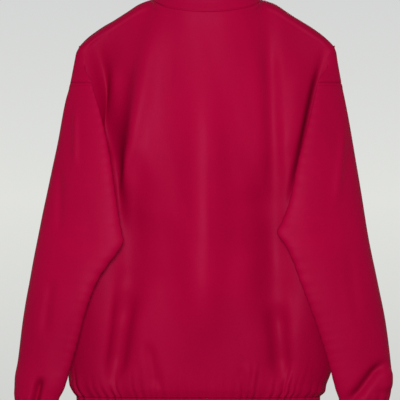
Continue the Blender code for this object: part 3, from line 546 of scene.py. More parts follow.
def levels(start, end, count, power=1.0):
    """Drops after start, down to and with end, closer together at the start if power is over 1."""
    return [start + (end - start) * ((i + 1) / count) ** power for i in range(count)]


SHOULDER_LEVELS = levels(TIP.y, ARMHOLE_TOP, 24, 1.9)
ARM_LEVELS = levels(ARMHOLE_TOP, ARMPIT, 64, 1.15)
LOWER_LEVELS = levels(ARMPIT, GATHER_START, 46)
BODY_ROWS = SHOULDER_LEVELS + ARM_LEVELS + LOWER_LEVELS + levels(GATHER_START, BODY_HEM, 24)
SLEEVE_ROWS = [ARMHOLE_TOP] + ARM_LEVELS + LOWER_LEVELS + levels(GATHER_START, SLEEVE_HEM, 32)
CUFF_LEVELS = [SLEEVE_HEM] + levels(SLEEVE_HEM, CUFF_HEM, CUFF_ROWS)


def soft(t):
    """The smooth step of an array."""
    t = np.clip(t, 0.0, 1.0)
    return t * t * (3 - 2 * t)


def column_values():
    """Curve values of a half section's columns, from the middle to its edge."""
    neck = [NECK_SHARE * i / NECK_CELLS for i in range(NECK_CELLS)]
    return neck + [NECK_SHARE + (1 - NECK_SHARE) * i / SHOULDER_CELLS for i in range(SHOULDER_CELLS + 1)]


def half_grid(side, face, drops, with_top):
    """Rows of points of half a panel at some drops, under the panel's upper edge if that is asked for."""
    values = column_values()
    rows = [[at(side * x, y, drop) for x, y, drop in (top_line(t, face) for t in values)]] if with_top else []
    rows += [[half_point(side, face, t, drop) for t in values] for drop in drops]
    return np.array(rows)


def calmed(grid):
    """Half panel with the corners at the neck point and the middle worn off, more so further down."""
    columns = np.arange(grid.shape[1])
    weights = np.exp(-((columns - NECK_CELLS) / CALM_FADE) ** 2)
    weights += MIDDLE_CALM * np.exp(-(columns / MIDDLE_FADE) ** 2)
    for i, drop in enumerate(BODY_ROWS):
        for _ in range(int(CALM_ROUNDS * smooth((drop - TIP.y) / CALM_REACH))):
            row = grid[i + 1]
            halfway, level = (row[:-2] + row[2:]) / 2, row[1] * (0.0, 1.0, 1.0)
            row[1:-1] += weights[1:-1, None] * CALM_STEP * (halfway - row[1:-1])
            row[0] += weights[0] * CALM_STEP * (level - row[0])
    return grid


def arm_section(side, drop):
    """Arm section from the back panel's edge round the sleeve's fold and outer edge to the front."""
    start, fold, outer, end = arm_points(side, drop)
    read = lambda name: SLEEVE.read(name, drop)
    opening = min(max((drop - ARMHOLE_TOP) / OPENING_REACH, 0.0), 1.0)
    curves = (
        (start, start + Vector((read("leave_x"), read("leave_y"))), fold - Vector((0, read("fold_in"))), fold),
        (fold, fold + Vector((0, read("fold_out"))), outer + Vector((0, read("edge_rear"))), outer),
        (outer, outer - Vector((0, read("edge_front"))) * opening,
         end + Vector((read("join_x"), read("join_y"))) * opening, end))
    points = [start]
    for curve, count in zip(curves, (UNDER_CELLS, REAR_CELLS, FRONT_CELLS)):
        points += [bezier(curve, (i + 1) / count) for i in range(count)]
    if drop < ARMHOLE_TOP:
        plain = (start, start + Vector((CAP_LEAD, 0.0)), curves[1][2], outer)
        share, count = smooth((drop - FOLD_START) / (ARMHOLE_TOP - FOLD_START)), UNDER_CELLS + REAR_CELLS
        points = [bezier(plain, i / count).lerp(points[i], share) for i in range(count + 1)]
    slope, middle = SLEEVE_TILT.read("slope", drop), axis_x(side, drop)
    return [at(side * p.x, p.y, drop - slope * (p.x - middle)) for p in points]


def ring_order(side, grid):
    """Columns run from the wearer's left round the back to the right, so that faces look out."""
    return grid[:, ::-1] if side == LEFT else grid


class Cloth:
    """A cut piece of cloth: one or more grids of points, with the height of its relief at each."""

    def __init__(self, name, wall, *grids):
        self.name, self.wall = name, wall
        self.grids = list(grids)
        self.heights = [np.zeros(grid.shape[:2]) for grid in grids]

    def drops(self):
        return -HOOK_RISE - self.grids[0][..., 2]


def make_cloth():
    """Grids of all the cut pieces, which share their points along the seams between body and sleeve."""
    pieces = {}
    halves = {side: calmed(half_grid(side, "back", BODY_ROWS, True)) for side in (LEFT, RIGHT)}
    caps = []
    for side in (LEFT, RIGHT):
        tip = [at(side * TIP.x, 0.0, TIP.y)] * (UNDER_CELLS + REAR_CELLS + 1)
        rows = [arm_section(side, drop)[:len(tip)] for drop in SHOULDER_LEVELS]
        caps.append(ring_order(side, np.array([tip] + rows)))
    whole = np.concatenate([halves[LEFT][:, ::-1], halves[RIGHT][:, 1:]], axis=1)
    pieces["back"] = Cloth("back", CLOTH_WALL, whole, *caps)
    band = [half_grid(side, face, [BODY_HEM] + levels(BODY_HEM, BAND_HEM, BAND_ROWS), False)
            for side, face in ((LEFT, "front"), (LEFT, "back"), (RIGHT, "back"), (RIGHT, "front"))]
    row = [band[0], band[1][:, ::-1][:, 1:], band[2][:, 1:], band[3][:, ::-1][:, 1:]]
    pieces["hem_band"] = Cloth("hem_band", BAND_WALL, np.concatenate(row, axis=1))
    for side in (LEFT, RIGHT):
        name = side_name(side)
        front = calmed(half_grid(side, "front", BODY_ROWS, True))
        pieces["front_" + name] = Cloth("front_" + name, CLOTH_WALL, ring_order(-side, front))
        sleeve = np.array([arm_section(side, drop) for drop in SLEEVE_ROWS])
        pieces["sleeve_" + name] = Cloth("sleeve_" + name, CLOTH_WALL, ring_order(side, sleeve))
        rows = [arm_section(side, drop) for drop in CUFF_LEVELS]
        pieces["cuff_" + name] = Cloth("cuff_" + name, BAND_WALL, ring_order(side, np.array(rows)))
    pieces["collar"] = Cloth("collar", COLLAR_WALL, collar_grid())
    return pieces


def collar_grid():
    """Collar from the left zip edge round the back to the right one, from its top down."""
    turns = [i / NECK_CELLS for i in range(NECK_CELLS + 1)]
    rows = []
    for i in range(COLLAR_ROWS + 1):
        share = 1 - i / COLLAR_ROWS
        left = [collar_point(LEFT, "front", u, share) for u in turns]
        left += [collar_point(LEFT, "back", u, share) for u in turns[-2::-1]]
        rows.append(left + [mirrored(p) for p in left[-2::-1]])
    return np.array(rows)


# Relief

def run_lengths(row):
    """Length along a row of points, from its first point."""
    steps = np.linalg.norm(np.diff(row, axis=0), axis=1)
    return np.concatenate([[0.0], np.cumsum(steps)])


def uneven(values, seed):
    """Smooth noise from -1 to 1 along an array of values."""
    flat = [noise.noise(Vector((v, seed, 0.5))) for v in values]
    return np.array(flat) * NOISE_SPAN


def gathers(waves, reach, height, length):
    """Rounded ridges with sharp valleys, uneven in height and length, that fade with their reach."""
    drift, taller, longer = (share * uneven(waves * rate, seed) for share, rate, seed in GATHER_NOISE.values())
    ridges = 2 * np.abs(np.cos(math.pi * (waves + drift))) ** GATHER_SHARPNESS - 1
    fading = soft(1 - reach / (length * (1 + longer))[None, :]) ** GATHER_FADE
    return (height * (1 + taller) * ridges)[None, :] * fading


def hem_waves(row, first, count):
    """Number of the gather at each point of a row, in proportion to its length."""
    lengths = run_lengths(row)
    return first + count * lengths / lengths[-1]


def body_gathers(piece):
    """Waves at the hem of the whole body, counted from the left zip edge round to the right one."""
    starts = {"front_left": (0, GATHERS_FRONT), "back": (GATHERS_FRONT, GATHERS_BACK),
              "front_right": (GATHERS_FRONT + GATHERS_BACK, GATHERS_FRONT)}
    if piece.name == "hem_band":
        edge = NECK_CELLS + SHOULDER_CELLS
        row, cuts = piece.grids[0][0], (0, edge, 3 * edge, 4 * edge)
        parts = [hem_waves(row[a:b + 1], *starts[name])[(1 if a else 0):]
                 for (a, b), name in zip(zip(cuts, cuts[1:]), ("front_left", "back", "front_right"))]
        return np.concatenate(parts)
    return hem_waves(piece.grids[0][-1], *starts[piece.name])


def crease(fold, x, drop):
    """Height of one straight fold or crease at points seen from behind."""
    run = fold["drop_end"] - fold["drop_top"]
    u = (drop - fold["drop_top"]) / run
    middle = fold["x_top"] + (fold["x_end"] - fold["x_top"]) * u
    lean = math.cos(math.atan2(fold["x_end"] - fold["x_top"], run))
    ends = soft((u + CREASE_OVERRUN) / CREASE_FADE) * soft((1 + CREASE_OVERRUN - u) / CREASE_FADE)
    return fold["height"] * ends * np.exp(-((x - middle) * lean / fold["half_width"]) ** 2)


def crumple(grid, seed):
    """Soft irregular folds, long down the cloth and short across it."""
    heights = np.zeros(grid.shape[:2])
    for (height, (over, deep, down, aslant)), shift in zip(CRUMPLES, (seed, -seed)):
        for index in np.ndindex(heights.shape):
            x, y, z = grid[index]
            heights[index] += height * noise.noise(Vector((x * over + z * aslant, y * deep + shift, z * down)))
    return heights


def groove(distance):
    """Groove of a seam at distances from it."""
    return -SEAM_DEPTH * np.exp(-(distance / SEAM_WIDTH) ** 2)


def edge_grooves(grid):
    """Grooves along the first and last columns."""
    total = np.zeros(grid.shape[:2])
    for i, row in enumerate(grid):
        lengths = run_lengths(row)
        total[i] = groove(lengths) + groove(lengths[-1] - lengths)
    return total


def yoke_line(grid, drop):
    """Raised line of a seam that runs beside the shoulder line, on the back."""
    x = np.abs(grid[..., 0])
    below = drop - np.interp(x, SHOULDER.keys, SHOULDER.columns["drop"]) - YOKE["depth"]
    (start, fade_in), (end, fade_out) = YOKE["start"], YOKE["end"]
    share = soft((x - start) / fade_in) * soft((end - x) / fade_out)
    ridge_line = YOKE["ridge"] * np.exp(-(below / YOKE["width"] + 1) ** 2)
    return share * (ridge_line - YOKE["groove"] * np.exp(-(below / YOKE["groove_width"]) ** 2))


def neck_swell(grid):
    """Bulk along the first row where it is the neck seam, fading with the distance from it."""
    total = np.zeros(grid.shape[:2])
    past, length = NECK_SWELL_END
    for j in range(grid.shape[1]):
        near_neck = smooth((NECK_HALF + past - abs(grid[0, j, 0])) / length)
        total[:, j] = near_neck * NECK_SWELL * np.exp(-(run_lengths(grid[:, j]) / NECK_SWELL_REACH) ** 2)
    return total


def fold_puckers(drops):
    """Small uneven puckers along the sleeve's inner fold."""
    waves = np.array(drops) / PUCKER["pitch"]
    heights = PUCKER["height"] * np.sin(2 * math.pi * (waves + PUCKER["drift"] * uneven(waves * 0.6, 5.0)))
    heights *= PUCKER["even"] + (1 - PUCKER["even"]) * uneven(waves * 0.3, 9.0)
    columns = np.arange(UNDER_CELLS + REAR_CELLS + FRONT_CELLS + 1)
    share = np.exp(-((columns - UNDER_CELLS - PUCKER["column"]) / PUCKER["width"]) ** 2)
    return heights[:, None] * share[None, :]


def rear_share():
    """Share of a crease that each of the sleeve's columns takes: all on its rear, none elsewhere."""
    share = np.zeros(UNDER_CELLS + REAR_CELLS + FRONT_CELLS + 1)
    columns = np.arange(REAR_CELLS + 1)
    share[UNDER_CELLS:UNDER_CELLS + REAR_CELLS + 1] = soft(np.minimum(columns, columns[::-1]) / REAR_FADE)
    return share


def sleeve_relief(piece):
    """Gathers over and in the cuff, the seams' grooves and the puckers along the inner fold."""
    side = LEFT if piece.name.endswith("left") else RIGHT
    is_cuff = piece.name.startswith("cuff")
    drops = np.array(CUFF_LEVELS if is_cuff else SLEEVE_ROWS)
    reach = np.abs(drops - SLEEVE_HEM)[:, None] * (BAND_STRETCH if is_cuff else 1.0)
    waves = hem_waves(piece.grids[0][0 if is_cuff else -1], 100 * side, GATHERS_CUFF)
    seams = groove(np.abs(drops - SLEEVE_HEM)) + groove(np.abs(drops - ARMHOLE_TOP))
    total = gathers(waves, reach, **CUFF_GATHERS) + seams[:, None]
    if not is_cuff:
        puckers = fold_puckers(SLEEVE_ROWS)
        total += puckers[:, ::-1] if side == LEFT else puckers
    return total


def add_relief(pieces):
    """Sum up the relief of every piece."""
    rear = rear_share()
    for seed, (name, piece) in enumerate(pieces.items()):
        for k, grid in enumerate(piece.grids):
            share = BAND_CRUMPLE if piece.wall == BAND_WALL else 1.0
            piece.heights[k] += share * crumple(grid, CRUMPLE_SEED * seed)
        drop, grid, first = piece.drops(), piece.grids[0], piece.heights[0]
        on_sleeve, on_body = name.startswith(("sleeve", "cuff")), name in ("back", "front_left", "front_right")
        if on_sleeve:
            first += sleeve_relief(piece)
        if on_body or name == "hem_band":
            reach = np.abs(drop - BODY_HEM)
            share = BAND_STRETCH if name == "hem_band" else 1.0
            first += gathers(body_gathers(piece), reach * share, **HEM_GATHERS) + groove(reach)
        if on_body:
            first += neck_swell(grid)
        if name == "back":
            first += yoke_line(grid, drop)
        if name == "collar":
            first += neck_swell(grid[::-1])[::-1]
        if name.startswith("front"):
            first += edge_grooves(grid)
        seen = rear[::-1] if name == "sleeve_left" else rear
        for fold in CREASES.rows:
            if fold["piece"] == name:
                first += (seen[None, :] if on_sleeve else 1.0) * crease(fold, grid[..., 0], drop)


def displace(pieces):
    """Move every point along the joined cloth's normal by its relief, alike on both sides of a seam."""
    grids = [(piece, k) for piece in pieces.values() for k in range(len(piece.grids))]
    points = np.concatenate([piece.grids[k].reshape(-1, 3) for piece, k in grids])
    heights = np.concatenate([piece.heights[k].ravel() for piece, k in grids])
    _, same = np.unique(np.round(points * 1e6).astype(np.int64), axis=0, return_inverse=True)
    same = same.ravel()
    normals = np.zeros((same.max() + 1, 3))
    start = 0
    for piece, k in grids:
        rows, columns = piece.grids[k].shape[:2]
        index = start + np.arange(rows * columns).reshape(rows, columns)
        a, b, c, d = index[:-1, :-1], index[1:, :-1], index[1:, 1:], index[:-1, 1:]
        facing = np.cross(points[c] - points[a], points[d] - points[b])
        for corner in (a, b, c, d):
            np.add.at(normals, same[corner].ravel(), facing.reshape(-1, 3))
        start += rows * columns
    normals /= np.linalg.norm(normals, axis=1, keepdims=True) + 1e-12
    counts = np.bincount(same)
    level = np.bincount(same, weights=heights) / counts
    moved = points + normals[same] * level[same][:, None]
    start = 0
    for piece in pieces.values():
        piece.normals = []
    for piece, k in grids:
        rows, columns = piece.grids[k].shape[:2]
        part = slice(start, start + rows * columns)
        piece.grids[k] = moved[part].reshape(rows, columns, 3)
        piece.normals.append(normals[same[part]].reshape(rows, columns, 3))
        start += rows * columns


# Objects

def new_object(name, data, material):
    data.materials.append(material)
    thing = bpy.data.objects.new(name, data)
    bpy.context.scene.collection.objects.link(thing)
    return thing


def mesh_object(name, points, faces, material):
    mesh = bpy.data.meshes.new(name)
    mesh.from_pydata([tuple(map(float, p)) for p in points], [], faces)
    mesh.validate()
    mesh.shade_smooth()
    return new_object(name, mesh, material)


def tube_faces(first, rings, sides):
    """Walls and both ends of a closed tube, whose points run ring by ring from a first one."""
    last = first + (rings - 1) * sides
    faces = [(a + n, a + (n + 1) % sides, a + (n + 1) % sides + sides, a + n + sides)
             for a in range(first, last, sides) for n in range(sides)]
    return faces + [tuple(reversed(range(first, first + sides))), tuple(range(last, last + sides))]


def between(goals, lengths, values):
    """Points or directions at some lengths, read between those at given lengths."""
    return np.stack([np.interp(goals, lengths, values[:, i]) for i in range(3)], axis=-1)


def unit(directions):
    return directions / (np.linalg.norm(directions, axis=1, keepdims=True) + 1e-12)


def cloth_object(piece, material):
    """One shell with a wall from a piece's grids, whose equal points are joined."""
    places, points, faces = {}, [], []
    for grid in piece.grids:
        rows, columns = grid.shape[:2]
        index = np.zeros((rows, columns), dtype=int)
        for i in range(rows):
            for j in range(columns):
                key = tuple(np.round(grid[i, j], 6))
                if key not in places:
                    places[key] = len(points)
                    points.append(grid[i, j])
                index[i, j] = places[key]
        for i in range(rows - 1):
            for j in range(columns - 1):
                corners = [index[i, j], index[i + 1, j], index[i + 1, j + 1], index[i, j + 1]]
                face = [int(c) for n, c in enumerate(corners) if c not in corners[:n]]
                if len(face) > 2:
                    faces.append(face)
    thing = mesh_object(piece.name + "_cloth", points, faces, material)
    wall = thing.modifiers.new("wall", "SOLIDIFY")
    wall.thickness = piece.wall
    wall.offset = -1.0
    return thing


def resampled(path, pitch):
    """Points at equal steps along a path, with the way it runs there and the share of each."""
    path = np.array(path)
    lengths = run_lengths(path)
    keep = np.concatenate([[True], np.diff(lengths) > 1e-7])
    path, lengths = path[keep], lengths[keep]
    goals = np.arange(pitch / 2, lengths[-1], pitch)
    ways = between(goals + pitch / 4, lengths, path) - between(goals - pitch / 4, lengths, path)
    return between(goals, lengths, path), unit(ways), goals, (lengths, keep)


def stitch_row(name, path, outward, material):
    """Short raised threads along a path on the cloth, whose outward normals are given."""
    spots, ways, goals, (lengths, keep) = resampled(path, STITCH["pitch"])
    ups = unit(between(goals, lengths, np.array(outward)[keep]))
    points, faces, sides = [], [], STITCH["sides"]
    for spot, way, up in zip(spots, ways, ups):
        out = np.cross(way, up)
        faces += tube_faces(len(points), len(STITCH_PROFILE), sides)
        for along, width in STITCH_PROFILE:
            middle, radius = spot + way * along * STITCH["length"], STITCH["radius"] * width
            points += [middle + radius * (out * math.cos(a) + up * (math.sin(a) + STITCH["rise"]))
                       for a in (2 * math.pi * n / sides for n in range(sides))]
    return mesh_object(name, points, faces, material)


def nearest_row(rows, drop):
    return min(range(len(rows)), key=lambda i: abs(rows[i] - drop))


def inside_column(grid, edge, distance):
    """Points at a distance in from the first (0) or last (-1) column, along every row."""
    result = []
    for row in grid:
        row = row if edge == 0 else row[::-1]
        result.append(between(distance, run_lengths(row), row))
    return np.array(result)


def make_stitches(pieces, material):
    """Rows of topstitching beside the seams and edges."""
    made = []

    def along_row(name, piece, i):
        made.append(stitch_row(name, piece.grids[0][i], piece.normals[0][i], material))

    body_rows = [TIP.y] + BODY_ROWS
    for name in ("back", "front_left", "front_right"):
        along_row("stitches_hem_" + name, pieces[name], nearest_row(body_rows, BODY_HEM - TOPSTITCH))
    for side in (LEFT, RIGHT):
        label = side_name(side)
        sleeve = pieces["sleeve_" + label]
        along_row("stitches_armhole_" + label, sleeve, nearest_row(SLEEVE_ROWS, ARMHOLE_TOP + TOPSTITCH))
        along_row("stitches_cuff_" + label, sleeve, nearest_row(SLEEVE_ROWS, SLEEVE_HEM - TOPSTITCH))
        front = pieces["front_" + label]
        edge = 0 if side == LEFT else -1
        path = inside_column(front.grids[0], edge, TOPSTITCH)
        made.append(stitch_row("stitches_zip_" + label, path, front.normals[0][:, edge], material))
    for i, label in ((1, "top"), (COLLAR_ROWS - 1, "neck")):
        along_row("stitches_collar_" + label, pieces["collar"], i)
    along_row("stitches_band_foot", pieces["hem_band"], BAND_ROWS - 1)
    return made


# Zip

def zip_line():
    """Cloth's edge beside the zip, from the collar's top down to the band's hem."""
    points = [collar_point(LEFT, "front", 0.0, 1 - i / COLLAR_ROWS) for i in range(COLLAR_ROWS + 1)]
    drops = BODY_ROWS[FIRST_ZIP_ROW:] + levels(BODY_HEM, BAND_HEM, BAND_ROWS)
    return [Vector((0, p.y, p.z)) for p in points + [half_point(LEFT, "front", 0.0, drop) for drop in drops]]


def make_tape(side, line, material):
    """Tape from beside the middle to under the cloth's edge, bowed in depth."""
    xs = np.linspace(TAPE["gap"], ZIP_EDGE + TAPE["under"], TAPE["columns"])
    rows = [[(side * x, p.y + TAPE["depth"] + TAPE["bow"] * (x / ZIP_EDGE) ** 2, p.z) for x in xs] for p in line]
    tape = Cloth("zip_tape_" + side_name(side), TAPE_WALL, ring_order(-side, np.array(rows)))
    return cloth_object(tape, material)


def make_teeth(line, material):
    """Closed row of teeth: chamfered blocks from both tapes by turns."""
    spots, ways, _, _ = resampled([tuple(p) for p in line], TOOTH["pitch"])
    points, faces = [], []
    for i, (spot, way) in enumerate(zip(spots, ways)):
        side = LEFT if i % 2 else RIGHT
        out = np.cross(way, (1.0, 0.0, 0.0))
        out *= -1 if out[1] > 0 else 1
        faces += tube_faces(len(points), 3, 4)
        for depth, inset in ((TOOTH["sunk"], 0.0), (TOOTH["shoulder"] * TOOTH["depth"], 0.0),
                             (TOOTH["depth"], TOOTH["chamfer"])):
            for x, z in ((-1, -1), (1, -1), (1, 1), (-1, 1)):
                reach = TOOTH["inner"] + inset if x < 0 else TOOTH["outer"] - inset
                half = TOOTH["height"] / 2 - inset / 2
                points.append(spot + out * depth + way * z * half + np.array((side * reach, 0, 0)))
    return mesh_object("zip_teeth", points, faces, material)


def bevelled(thing, width, segments=3):
    bevel = thing.modifiers.new("edges", "BEVEL")
    bevel.width, bevel.segments = width, segments
    bevel.limit_method, bevel.angle_limit = "ANGLE", math.radians(30)
    return thing


def prism(name, outline, near, far, material):
    """Plate between two depths with an outline of x and z."""
    points = [(x, y, z) for y in (far, near) for x, z in outline]
    return mesh_object(name, points, tube_faces(0, 2, len(outline)), material)


def make_slider(material):
    """Shield-shaped slider with an arched bridge, in the place of the plain solid."""
    low, high = (Vector(corner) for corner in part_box("zip_slider"))
    middle, half = (low + high) / 2, (high.x - low.x) / 2
    rear, face = high.y, high.y - SLIDER_DEPTH
    shape = SLIDER_SHAPE + tuple((-x, z) for x, z in reversed(SLIDER_SHAPE))
    outline = [(half * x, low.z + (high.z - low.z) * z) for x, z in shape]
    plate = bevelled(prism("slider_plate", outline, face, rear, material), SLIDER_BEVEL)
    points = []
    for out, rise in BRIDGE_ARCH:
        normal = Vector((0, BRIDGE_LEAN[0] - out, rise * BRIDGE_LEAN[1])).normalized()
        spot = Vector((0, face - (face - low.y) * out, middle.z + BRIDGE_REACH * rise))
        points += [spot - normal * (BRIDGE_WALL * inner) + Vector((x * BRIDGE_HALF, 0, 0))
                   for x, inner in ((-1, 0), (1, 0), (1, 1), (-1, 1))]
    faces = tube_faces(0, len(BRIDGE_ARCH), 4)
    bridge = bevelled(mesh_object("slider_bridge", points, faces, material), BRIDGE_BEVEL, 2)
    return plate, bridge


def make_pull(material):
    """Flat tab with a rounded foot and a window at its top bar."""
    low, high = (Vector(corner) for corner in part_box("zip_pull"))
    half, middle = (high.x - low.x) / 2, (high.y + low.y) / 2
    curve = bpy.data.curves.new("pull_tab", "CURVE")
    curve.dimensions, curve.fill_mode = "2D", "BOTH"
    curve.bevel_depth, curve.bevel_resolution = PULL_ROUND, 2
    curve.extrude = (high.y - low.y) / 2 - PULL_ROUND
    edge = half - PULL_ROUND
    arc = [(edge * math.cos(a), low.z + half + edge * math.sin(a)) for a in (-math.pi * i / 24 for i in range(25))]
    rim = [(PULL_TOP * edge, high.z - PULL_ROUND), (edge, high.z - PULL_CORNER),
           (PULL_WAIST[0] * edge, high.z - PULL_WAIST[1] * (high.z - low.z))]
    outline = rim + arc + [(-x, z) for x, z in reversed(rim)]
    x, top = PULL_WINDOW[0] / 2 + PULL_ROUND, high.z - PULL_BAR + PULL_ROUND
    window = [(-x, top), (-x, top - PULL_WINDOW[1]), (x, top - PULL_WINDOW[1]), (x, top)]
    radius, below = PULL_HOLE
    grip = [(radius * math.cos(a), low.z + half - below + radius * math.sin(a))
            for a in (2 * math.pi * i / 20 for i in range(20))]
    for points in (outline, window, grip):
        spline = curve.splines.new("POLY")
        spline.points.add(len(points) - 1)
        for target, (px, pz) in zip(spline.points, points):
            target.co = (px, pz, 0, 1)
        spline.use_cyclic_u = True
    pull = new_object("pull_tab", curve, material)
    pull.location = (0, middle, 0)
    pull.rotation_euler = (math.pi / 2, 0, 0)
    return pull


# Hanger

def shoulder_offset(x, distance):
    """Point at a distance under the shoulder line, square to it, as x and drop."""
    step = 0.0005
    slope = (SHOULDER.read("drop", x + step) - SHOULDER.read("drop", x - step)) / (2 * step)
    angle = math.atan(slope)
    return x - distance * math.sin(angle), SHOULDER.read("drop", x) + distance * math.cos(angle)


def bar_points():
    """Middle line of the hanger's bar from its centre to one end."""
    first_x, first_drop = shoulder_offset(BAR_NECK_X, BAR_DEPTH + BAR_NECK_DIP)
    dip_start, dip_end = BAR_DIP_SPAN
    points = [at(first_x * i / 20, 0, first_drop - BAR_RISE * (1 - (i / 20) ** 2)) for i in range(20)]
    for i in range(41):
        x = BAR_NECK_X + (BAR_END_X - BAR_NECK_X) * i / 40
        x, drop = shoulder_offset(x, BAR_DEPTH + BAR_NECK_DIP * smooth((dip_end - x) / (dip_end - dip_start)))
        points.append(at(x, 0, drop))
    return points


def hook_points():
    """Middle line of the hook's wire, from its tip round to the top of its straight shank."""
    radius = HOOK_INSIDE + HOOK_WIRE
    points = []
    for i in range(61):
        angle = math.radians(HOOK_TIP_ANGLE + (HOOK_SIDE_ANGLE - HOOK_TIP_ANGLE) * i / 60)
        points.append(Vector((radius * math.cos(angle), 0, radius * math.sin(angle) - HOOK_INSIDE)))
    way = Vector((-math.sin(angle), 0, math.cos(angle)))
    shank = Vector((0, 0, -SHANK_TOP))
    bend = (points[-1], points[-1] + way * SHANK_BEND, shank + Vector((0, 0, SHANK_BEND)), shank)
    return points + [bezier(bend, (i + 1) / 16) for i in range(16)]


def round_bar(name, points, radii, material, sides=24):
    """Round bar along points in the plane of the hanger, with a radius at each."""
    rings = []
    for i, point in enumerate(points):
        way = (points[min(i + 1, len(points) - 1)] - points[max(i - 1, 0)]).normalized()
        out = Vector((0, 1, 0)).cross(way)
        rings += [point + float(radii[i]) * (out * math.cos(a) + Vector((0, 1, 0)) * math.sin(a))
                  for a in (2 * math.pi * n / sides for n in range(sides))]
    return mesh_object(name, rings, tube_faces(0, len(points), sides), material)


def rounded_ends(points, radius, reach):
    """Radii along points that round off both ends over a reach."""
    lengths = run_lengths(np.array(points))
    near = np.minimum(lengths, lengths[-1] - lengths)
    share = np.clip(near / reach, 0.0, 1.0)
    return radius * np.sqrt(np.maximum(1 - (1 - share) ** 2, 0.02))


def make_hanger(wood, steel):
    """Bar, hook, and the small collar where the hook enters the bar."""
    half = bar_points()
    line = [mirrored(p) for p in half[:0:-1]] + half
    bar = round_bar("wooden_bar", line, rounded_ends(line, BAR_RADIUS, BAR_ROUNDING), wood, 32)
    top = half[0].z + BAR_RADIUS
    wire = hook_points() + [Vector((0, 0, top + SHANK_CLEARANCE))]
    hook = round_bar("steel_hook", wire, rounded_ends(wire, HOOK_WIRE, WIRE_ROUNDING), steel)
    rises, radii = zip(*HOOK_COLLAR)
    collar = round_bar("hook_collar", [Vector((0, 0, top + rise)) for rise in rises], radii, steel)
    return bar, hook, collar


# Materials

class Shader:
    """A material of one Principled shader, with helpers that add its nodes."""

    def __init__(self, name, colour, roughness, **values):
        self.material = bpy.data.materials.new(name)
        self.material.use_nodes = True
        self.tree = self.material.node_tree
        self.main = self.tree.nodes["Principled BSDF"]
        self.main.inputs["Base Color"].default_value = (*colour, 1.0)
        self.main.inputs["Roughness"].default_value = roughness
        for label, value in values.items():
            self.main.inputs[label.replace("_", " ")].default_value = value
        self.place = self.node("ShaderNodeTexCoord").outputs["Object"]

    def node(self, kind, inputs=None, **settings):
        node = self.tree.nodes.new(kind)
        for label, value in settings.items():
            setattr(node, label, value)
        for label, value in (inputs or {}).items():
            if isinstance(value, bpy.types.NodeSocket):
                self.tree.links.new(value, node.inputs[label])
            else:
                node.inputs[label].default_value = value
        return node

    def noise(self, scale, detail=3.0, stretch=(1.0, 1.0, 1.0)):
        place = self.node("ShaderNodeMapping", {"Vector": self.place, "Scale": stretch}).outputs["Vector"]
        return self.node("ShaderNodeTexNoise", {"Vector": place, "Scale": scale, "Detail": detail}).outputs["Fac"]

    def bands(self, scale, direction):
        return self.node("ShaderNodeTexWave", {"Vector": self.place, "Scale": scale},
                         bands_direction=direction).outputs["Fac"]

    def spread(self, height, dark, light, low=0.3, high=0.7):
        """Colour that runs from dark to light with a height."""
        ramp = self.node("ShaderNodeValToRGB", {"Fac": height})
        for stop, place, colour in zip(ramp.color_ramp.elements, (low, high), (dark, light)):
            stop.position, stop.color = place, (*colour, 1.0)
        self.tree.links.new(ramp.outputs["Color"], self.main.inputs["Base Color"])

    def sum(self, *parts):
        total = None
        for height, share in parts:
            part = self.node("ShaderNodeMath", {0: height, 1: share}, operation="MULTIPLY").outputs[0]
            total = part if total is None else self.node(
                "ShaderNodeMath", {0: total, 1: part}, operation="ADD").outputs[0]
        return total

    def relief(self, height, distance, strength=1.0):
        bump = self.node("ShaderNodeBump", {"Height": height, "Distance": distance, "Strength": strength})
        self.tree.links.new(bump.outputs["Normal"], self.main.inputs["Normal"])

    def vary_roughness(self, height, low, high):
        spread = self.node("ShaderNodeMapRange", {"Value": height, "To Min": low, "To Max": high})
        self.tree.links.new(spread.outputs["Result"], self.main.inputs["Roughness"])


def scaled(colour, share):
    return tuple(channel * share for channel in colour)


def woven(name, share, roughness, thread, crumple_share):
    """Plain woven cloth: fine crossing threads, a soft crumple and slightly uneven dye."""
    colour = scaled(CRIMSON, share)
    shader = Shader(name, colour, roughness, **CLOTH_GLOSS)
    threads = shader.sum(*((shader.bands(thread, direction), 0.3) for direction in "XZY"))
    wide, fine = shader.noise(45.0, 4.0, (1.0, 0.6, 0.35)), shader.noise(260.0, 3.0)
    shader.relief(shader.sum((threads, 0.06), (wide, crumple_share), (fine, 0.10)), 0.0010, 0.8)
    shader.spread(shader.sum((shader.noise(7.0, 2.0), 0.7), (fine, 0.3)), scaled(colour, 0.93), scaled(colour, 1.07))
    shader.vary_roughness(wide, roughness - 0.06, roughness + 0.08)
    return shader.material


def metal(name):
    shader = Shader(name, STEEL, 0.26, Metallic=1.0)
    marks = shader.noise(900.0, 3.0, (1.0, 1.0, 0.12))
    shader.spread(shader.noise(120.0), scaled(STEEL, 0.86), STEEL)
    shader.vary_roughness(marks, 0.18, 0.36)
    shader.relief(marks, 0.00004)
    return shader.material


def wooden(name):
    shader = Shader(name, PALE_WOOD, 0.38, Coat_Weight=0.35, Coat_Roughness=0.12)
    grain = shader.noise(60.0, 6.0, (0.10, 1.0, 1.0))
    pores = shader.noise(420.0, 2.0, (0.06, 1.0, 1.0))
    shader.spread(shader.sum((grain, 0.75), (pores, 0.25)),
                  scaled(PALE_WOOD, 0.62), scaled(PALE_WOOD, 1.12), 0.32, 0.62)
    shader.relief(pores, 0.00008)
    return shader.material


# Stage, light and camera

def make_stage():
    size = FLOOR["half_size"]
    points = [(x * size, y * size, FLOOR["z"]) for x, y in ((-1, -1), (1, -1), (1, 1), (-1, 1))]
    floor = mesh_object("floor", points, [(0, 1, 2, 3)], Shader("pale_floor", FLOOR["colour"], 0.9).material)


